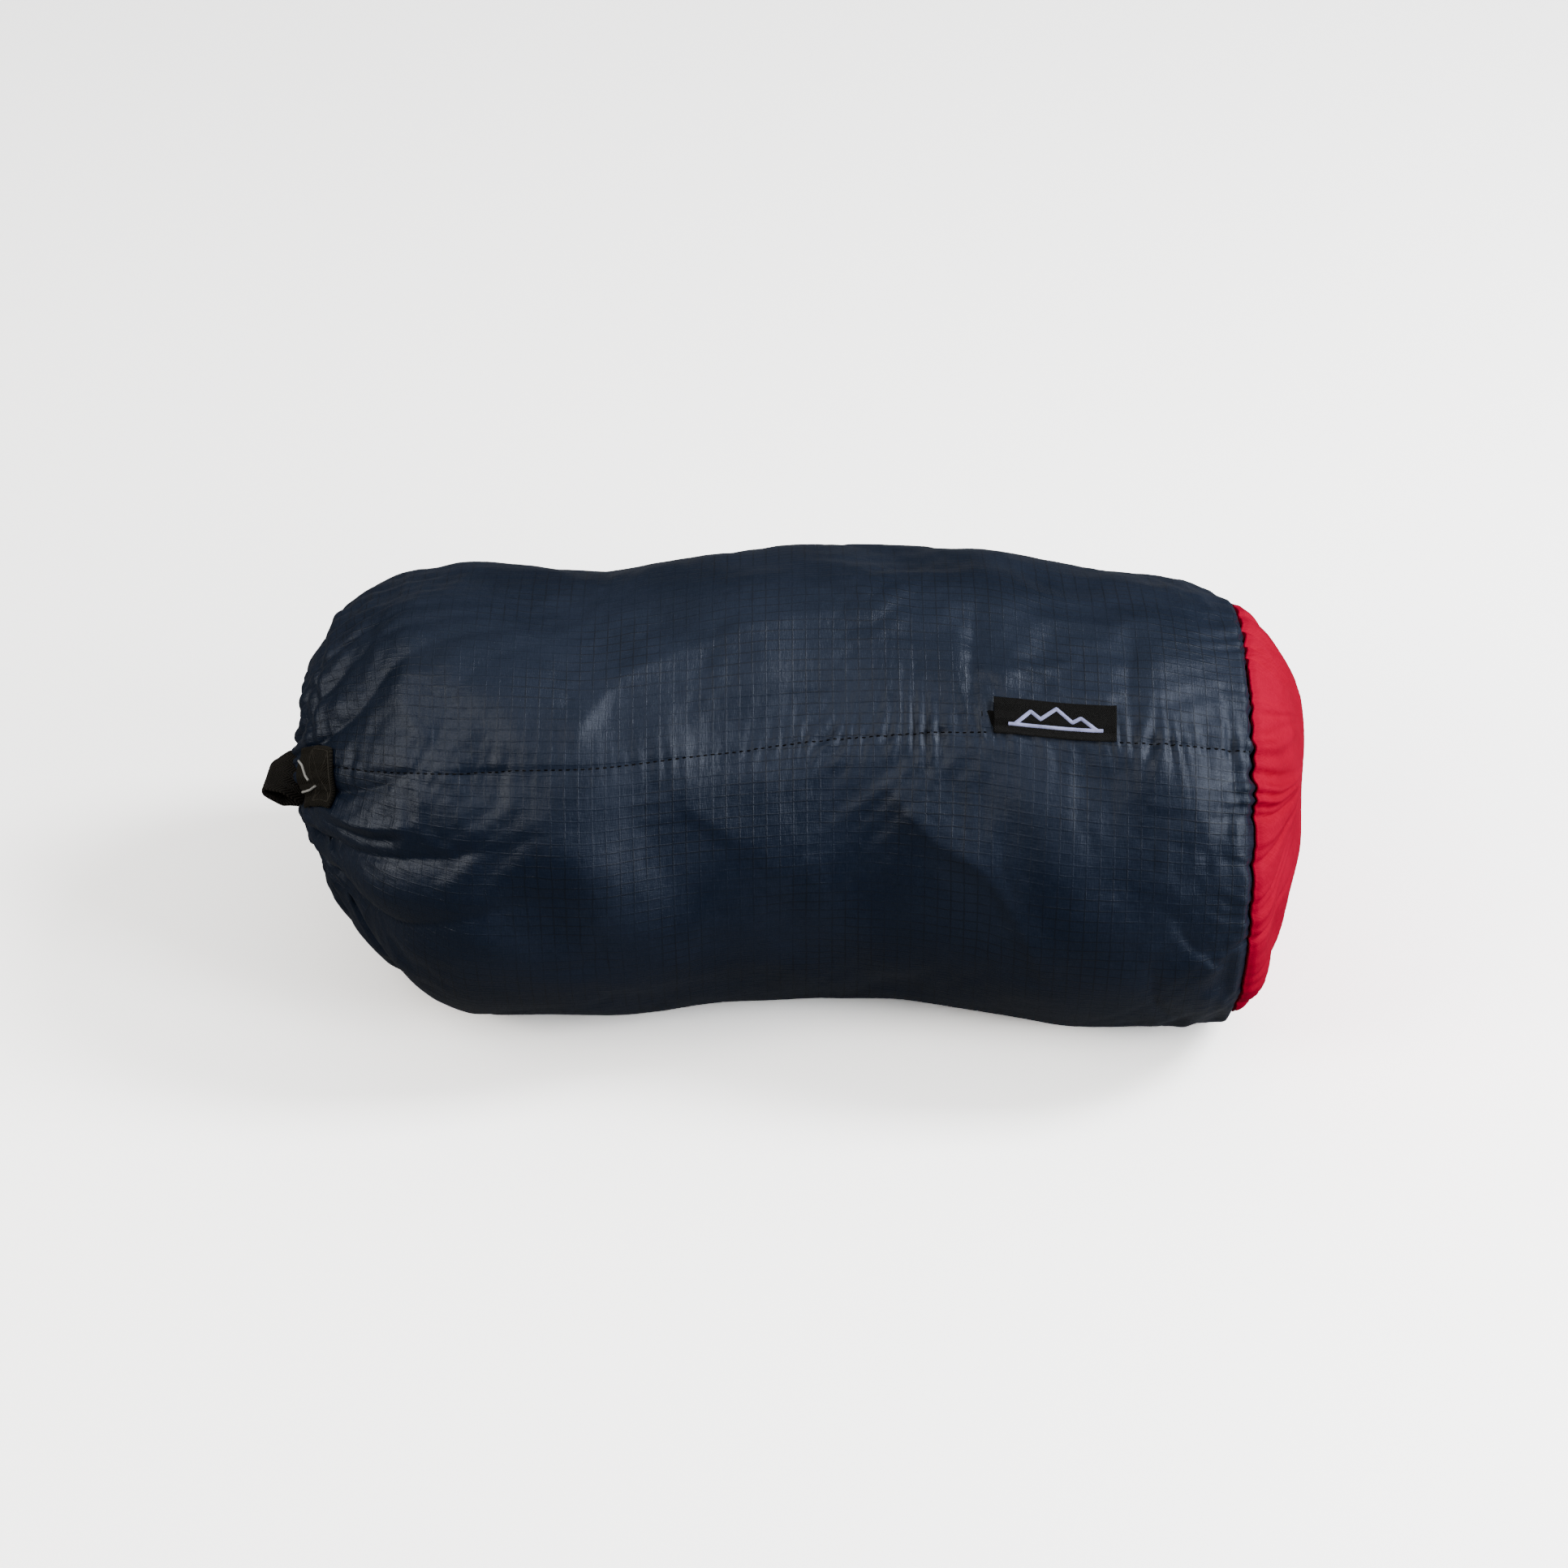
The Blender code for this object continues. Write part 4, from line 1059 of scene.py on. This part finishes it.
def loop_line():
    """The loop seen from its edge: out along its outer run, round the fold and back."""
    arc = []
    for degrees in np.linspace(75, 270, 12):
        turn = math.radians(degrees)
        arc.append((LOOP_FOLD[0] + LOOP_FOLD_RADIUS * math.cos(turn),
                    LOOP_FOLD[1] + LOOP_FOLD_RADIUS * math.sin(turn)))
    return soften(resample(list(LOOP_OUTER) + arc + list(LOOP_INNER), 0.35), 4)


def make_pull_loop(webbing):
    """The free loop: out from the hinge to its fold and back, turning on its side as it goes."""
    out = np.array((0.0, math.cos(STRAP_ANGLE), math.sin(STRAP_ANGLE)))
    side = np.array((0.0, -math.sin(STRAP_ANGLE), math.cos(STRAP_ANGLE)))
    middle = np.array((0.0, MOUTH[1], MOUTH[2]))
    across = np.linspace(-0.5, 0.5, WEBBING_COLUMNS)
    rows = []
    for x, distance in loop_line():
        reached = min(max((LOOP_TWIST_START - x) / LOOP_TWIST_LENGTH, 0.0), 1.0)
        twist = math.acos(1.0 - reached * (1.0 - math.cos(LOOP_TWIST)))
        width_way = side * math.cos(twist) + out * math.sin(twist)
        out_way = out * math.cos(twist) - side * math.sin(twist)
        centre = middle + out * LOOP_PIVOT + out_way * (distance - LOOP_PIVOT) + side * STRAP_SHIFT
        slant = np.outer(LOOP_SLANT * reached * across, (1.0, 0.0, 0.0))
        centre = centre + np.array((x, 0.0, 0.0)) + slant
        cup = LOOP_CUP * across ** 2
        rows.append(centre + width_way * (WEBBING_WIDTH * across)[:, None] + out_way * cup[:, None])
    loop = closed_band("pull_loop_webbing", np.array(rows), WEBBING, webbing)
    attach(loop, "pull_loop", "pull_loop")


def make_gap_light_strokes(rows, normals, material):
    """Painted light: two pale strokes on the strap, between the hem and the boxed cross, standing for bright
    light from behind that shows through gaps in the loop.
    """
    for number, stroke in enumerate(GAP_LIGHT_STROKES):
        path = resample([on_grid(rows, normals, u, v, 0.5 * WEBBING + 0.3) for u, v in stroke], 0.3)
        name = f"pull_loop_anchor_tracer_{number + 1}"
        attach(tube(name, soften(path, 6), GAP_LIGHT_STROKE_RADIUS, 8, material), "sack")


def make_anchor(line, points, webbing, thread, gap_light):
    """The end of the strap that is sewn down beside the mouth, with its thread and two pale strokes of painted
    light from behind, seen through gaps in the loop.
    """
    rows = []
    for x in np.linspace(ANCHOR_X[0], ANCHOR_X[1], 30):
        radius = np.interp(x, line[:, 1], line[:, 2])
        row = []
        for part in np.linspace(-0.5, 0.5, WEBBING_COLUMNS):
            angle = STRAP_ANGLE + (part * WEBBING_WIDTH + STRAP_SHIFT) / radius
            row.append(surface_point(line, points, x, angle)[0])
        rows.append(row)
    rows = np.array(rows)
    soften(rows.swapaxes(0, 1), 40)
    normals = row_normals(rows)
    if np.sum(normals * (rows - np.array(INSIDE_SACK))) < 0.0:
        normals = -normals
    rows = rows + normals * STRAP_LIFT
    anchor = closed_band("pull_loop_anchor_webbing", rows, WEBBING, webbing)
    attach(anchor, "sack", "pull_loop_anchor")
    make_box_stitch(rows, normals, thread)
    make_gap_light_strokes(rows, normals, gap_light)


def make_box_stitch(rows, normals, thread):
    """The boxed cross of thread that holds the strap's end: one run of stitches on the webbing."""
    left, right, low, high = BOX_STITCH
    run = ((left, low), (right, low), (right, high), (left, high), (left, low), (right, high), (right, low),
           (left, high))
    scale = ANCHOR_X[1] - ANCHOR_X[0], WEBBING_WIDTH
    path = resample([(u * scale[0], v * scale[1]) for u, v in run], 0.25)
    path = [on_grid(rows, normals, u / scale[0], v / scale[1], 0.5 * WEBBING + 0.02) for u, v in path]

    def stitches(along, angles):
        return -0.16 * abs(math.cos(math.pi * along / STITCH_PITCH)) ** 6 * np.ones_like(angles)

    attach(tube("pull_loop_anchor_thread", path, 0.24, 8, thread, relief=stitches), "sack")


# ---------------------------------------------------------------- label

def make_label(line, points, satin, mark_material):
    """The woven label: sewn along its lower edge, its free edge standing a little off the cloth."""
    along = np.linspace(0.0, 1.0, 90)
    up = np.linspace(0.0, 1.0, 26)
    rows = []
    for x in LABEL_START + LABEL_LENGTH * along:
        angle = float(seam_angle(x))
        radius = np.interp(x, line[:, 1], line[:, 2])
        rows.append([surface_point(line, points, x, angle - step * LABEL_HEIGHT / radius)[0] for step in up])
    rows = soften(np.array(rows), 60)
    soften(rows.swapaxes(0, 1), 6)
    normals = row_normals(rows)
    if np.sum(normals[..., 2]) < 0.0:
        normals = -normals
    lift = 0.75 + 0.7 * up[None, :] + 0.5 * np.exp(-((1.0 - along[:, None]) / 0.05) ** 2)
    front = rows + normals * lift[..., None]
    label = closed_band("woven_label_satin", front, LABEL_THICKNESS, satin)
    attach(label, "label", "woven_label")
    turned = front[:16, :16] - normals[:16, :16] * 0.9
    turned = turned + (front[0, 0] - front[9, 0]) + (front[0, 1] - front[0, 0]) * 0.6
    attach(closed_band("woven_label_fold", turned, 0.5, satin), "label")
    make_mark(front, normals, mark_material)


def on_grid(front, normals, u, v, lift):
    """A point on a grid of rows: u from row to row, v across them, both 0 to 1."""
    row, column = u * (len(front) - 1), v * (front.shape[1] - 1)
    r0, c0 = min(int(row), len(front) - 2), min(int(column), front.shape[1] - 2)
    place = between(front, (r0, r0 + 1, row - r0), (c0, c0 + 1, column - c0))
    return place + normals[r0, c0] * lift


def make_mark(front, normals, material):
    """A plain row of peaks over a line, in raised satin stitch."""
    vertices, faces = [], []
    columns = len(SATIN_STITCH)
    for stroke, half in MARK:
        path = resample([(u * LABEL_LENGTH, v * LABEL_HEIGHT) for u, v in stroke], 0.28)
        direction = np.gradient(path, axis=0)
        direction /= np.linalg.norm(direction, axis=1, keepdims=True)
        first = len(vertices)
        for place, way in zip(path, direction):
            across = np.array((-way[1], way[0]))
            for part, lift in SATIN_STITCH:
                u, v = (place + across * half * part) / (LABEL_LENGTH, LABEL_HEIGHT)
                vertices.append(on_grid(front, normals, u, v, lift))
        for step in range(len(path) - 1):
            for side in range(columns - 1):
                a = first + step * columns + side
                faces.append((a, a + 1, a + columns + 1, a + columns))
    attach(listed_object("woven_label_mark", vertices, faces, material), "label")


# ---------------------------------------------------------------- stage

def aim(obj, target):
    obj.rotation_euler = (Vector(target) - obj.location).to_track_quat("-Z", "Y").to_euler()


def add_light(name, place, target, size, power, colour):
    light = bpy.data.lights.new(name, "AREA")
    light.shape = "RECTANGLE"
    light.size, light.size_y = size
    light.energy = power
    light.color = colour
    obj = bpy.data.objects.new(name, light)
    obj.location = place
    bpy.context.scene.collection.objects.link(obj)
    aim(obj, target)


def add_floor():
    """A pale floor, bright to the camera and dimmer as the sack reflects it."""
    mesh = bpy.data.meshes.new("floor")
    corners = ((-1, -1), (1, -1), (1, 1), (-1, 1))
    mesh.from_pydata([(x * FLOOR_HALF, y * FLOOR_HALF, 0.0) for x, y in corners], [], [(0, 1, 2, 3)])
    material, tree, shader = start_material("pale_floor", 0.9)
    seen = node(tree, "ShaderNodeLightPath").outputs["Is Camera Ray"]
    tree.links.new(blend(tree, seen, FLOOR_BOUNCE, FLOOR_SEEN), shader.inputs["Base Color"])
    shader.inputs["Specular IOR Level"].default_value = 0.0
    new_object("floor", mesh, material)


def add_world():
    """A white surround, bright to the camera; the sack gets soft light from high up."""
    world = bpy.data.worlds.new("studio")
    world.use_nodes = True
    bpy.context.scene.world = world
    tree = world.node_tree
    background = tree.nodes["Background"]
    place = node(tree, "ShaderNodeTexCoord").outputs["Generated"]
    height = node(tree, "ShaderNodeSeparateXYZ", {0: place}).outputs[2]
    seen = node(tree, "ShaderNodeLightPath").outputs["Is Camera Ray"]
    sky = ramp(tree, height, 0.15, 0.9, 0.02, 0.5)
    strength = node(tree, "ShaderNodeMix", {0: seen, 2: sky, 3: SKY_SEEN}, data_type="FLOAT").outputs[0]
    tree.links.new(strength, background.inputs["Strength"])
    background.inputs["Color"].default_value = (*WHITE, 1.0)


def add_camera():
    """The camera: from the front, looking down at the sack."""
    data = bpy.data.cameras.new("camera")
    data.lens = CAMERA_LENS
    data.sensor_width = CAMERA_SENSOR
    camera = bpy.data.objects.new("camera", data)
    bpy.context.scene.collection.objects.link(camera)
    back = CAMERA_DISTANCE * math.cos(CAMERA_ELEVATION)
    up = CAMERA_DISTANCE * math.sin(CAMERA_ELEVATION)
    camera.location = (0.0, -back, CAMERA_TARGET[2] + up)
    aim(camera, CAMERA_TARGET)
    bpy.context.scene.camera = camera


def make_stage():
    add_floor()
    add_world()
    for light in LIGHTS:
        add_light(*light)
    add_camera()


# ---------------------------------------------------------------- build


def finish(start, ends, material):
    """Give the CAD's own pieces, named by a shared start and each end, a material."""
    for end in ends:
        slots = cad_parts[start + end].data.materials
        slots.clear()
        slots.append(material)


def main():
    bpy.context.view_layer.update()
    navy = cloth_material("navy_ripstop", (0.004, 0.010, 0.026), (0.010, 0.018, 0.040), (0.002, 0.004, 0.010),
                          0.39, 0.04, (0.6, 0.7, 0.9), (0.80, 0.87, 1.0))
    red = cloth_material("red_ripstop", (0.46, 0.0, 0.029), (0.58, 0.0, 0.041), (0.3, 0.0, 0.01),
                         0.6, 0.0, (1.0, 0.3, 0.5), (1.0, 0.4, 0.5), grid=False, specular=0.04)
    webbing = webbing_material("black_webbing", (0.003, 0.0026, 0.002), (0.034, 0.029, 0.024))
    patch = webbing_material("sewn_webbing", (0.008, 0.007, 0.005), (0.034, 0.029, 0.021), rib=0.0009)
    satin = webbing_material("black_satin", (0.002, 0.002, 0.002), (0.006, 0.006, 0.006), rib=0.0006,
                             roughness=0.6)
    cord = plain_material("black_cord", (0.008, 0.008, 0.009), 0.8, scale=1500.0, depth=0.0001, sheen=0.1,
                          specular=0.2)
    thread = plain_material("black_thread", (0.001, 0.001, 0.002), 0.9, scale=1500.0, specular=0.05)
    box_thread = plain_material("box_thread", (0.030, 0.026, 0.020), 0.8, scale=1500.0, specular=0.2)
    mark = plain_material("pale_thread", (0.42, 0.45, 0.80), 0.65, scale=1800.0, depth=0.0001)
    # Painted light: the pale strokes' colour stands for bright light from behind, seen through gaps in the
    # loop
    gap_light = plain_material("painted_light_through_gap", (0.52, 0.52, 0.50), 0.65, scale=1800.0, depth=0.0001)
    plastic = plain_material("black_plastic", (0.014, 0.014, 0.015), 0.4, scale=1200.0)
    steel = plain_material("spring_steel", (0.55, 0.55, 0.56), 0.28, 1.0, scale=700.0)
    anodised = plain_material("anodised_aluminium", (0.10, 0.12, 0.15), 0.33, 1.0, scale=900.0)
    rope = plain_material("grey_rope", (0.28, 0.29, 0.31), 0.8, scale=1300.0, depth=0.0002, sheen=0.2)
    inner = {"scale": 500.0, "depth": 0.0003}
    inner_navy = plain_material("inner_navy", (0.030, 0.042, 0.072), 0.5, sheen=0.3, **inner)
    inner_red = plain_material("inner_red", (0.60, 0.006, 0.033), 0.5, sheen=0.2, **inner)
    line, points = make_sack(navy, red)
    make_hem(navy)
    make_cord(cord)
    make_stitches(line, points, thread)
    make_pull_loop(webbing)
    make_anchor(line, points, patch, box_thread, gap_light)
    make_label(line, points, satin, mark)
    finish("cord_lock_", ("barrel", "plunger"), plastic)
    finish("cord_lock_", ("spring",), steel)
    finish("hammock_", ("centre_panel",), inner_navy)
    finish("hammock_", ("left_panel", "right_panel"), inner_red)
    for end in ("head_", "foot_"):
        finish(end, ("carabiner",), anodised)
        finish(end, ("carabiner_gate",), steel)
        finish(end, ("rope_loop",), rope)
        finish(end, ("end_sleeve",), inner_navy)
        finish(end, ("tree_strap",), cord)
    make_stage()


main()
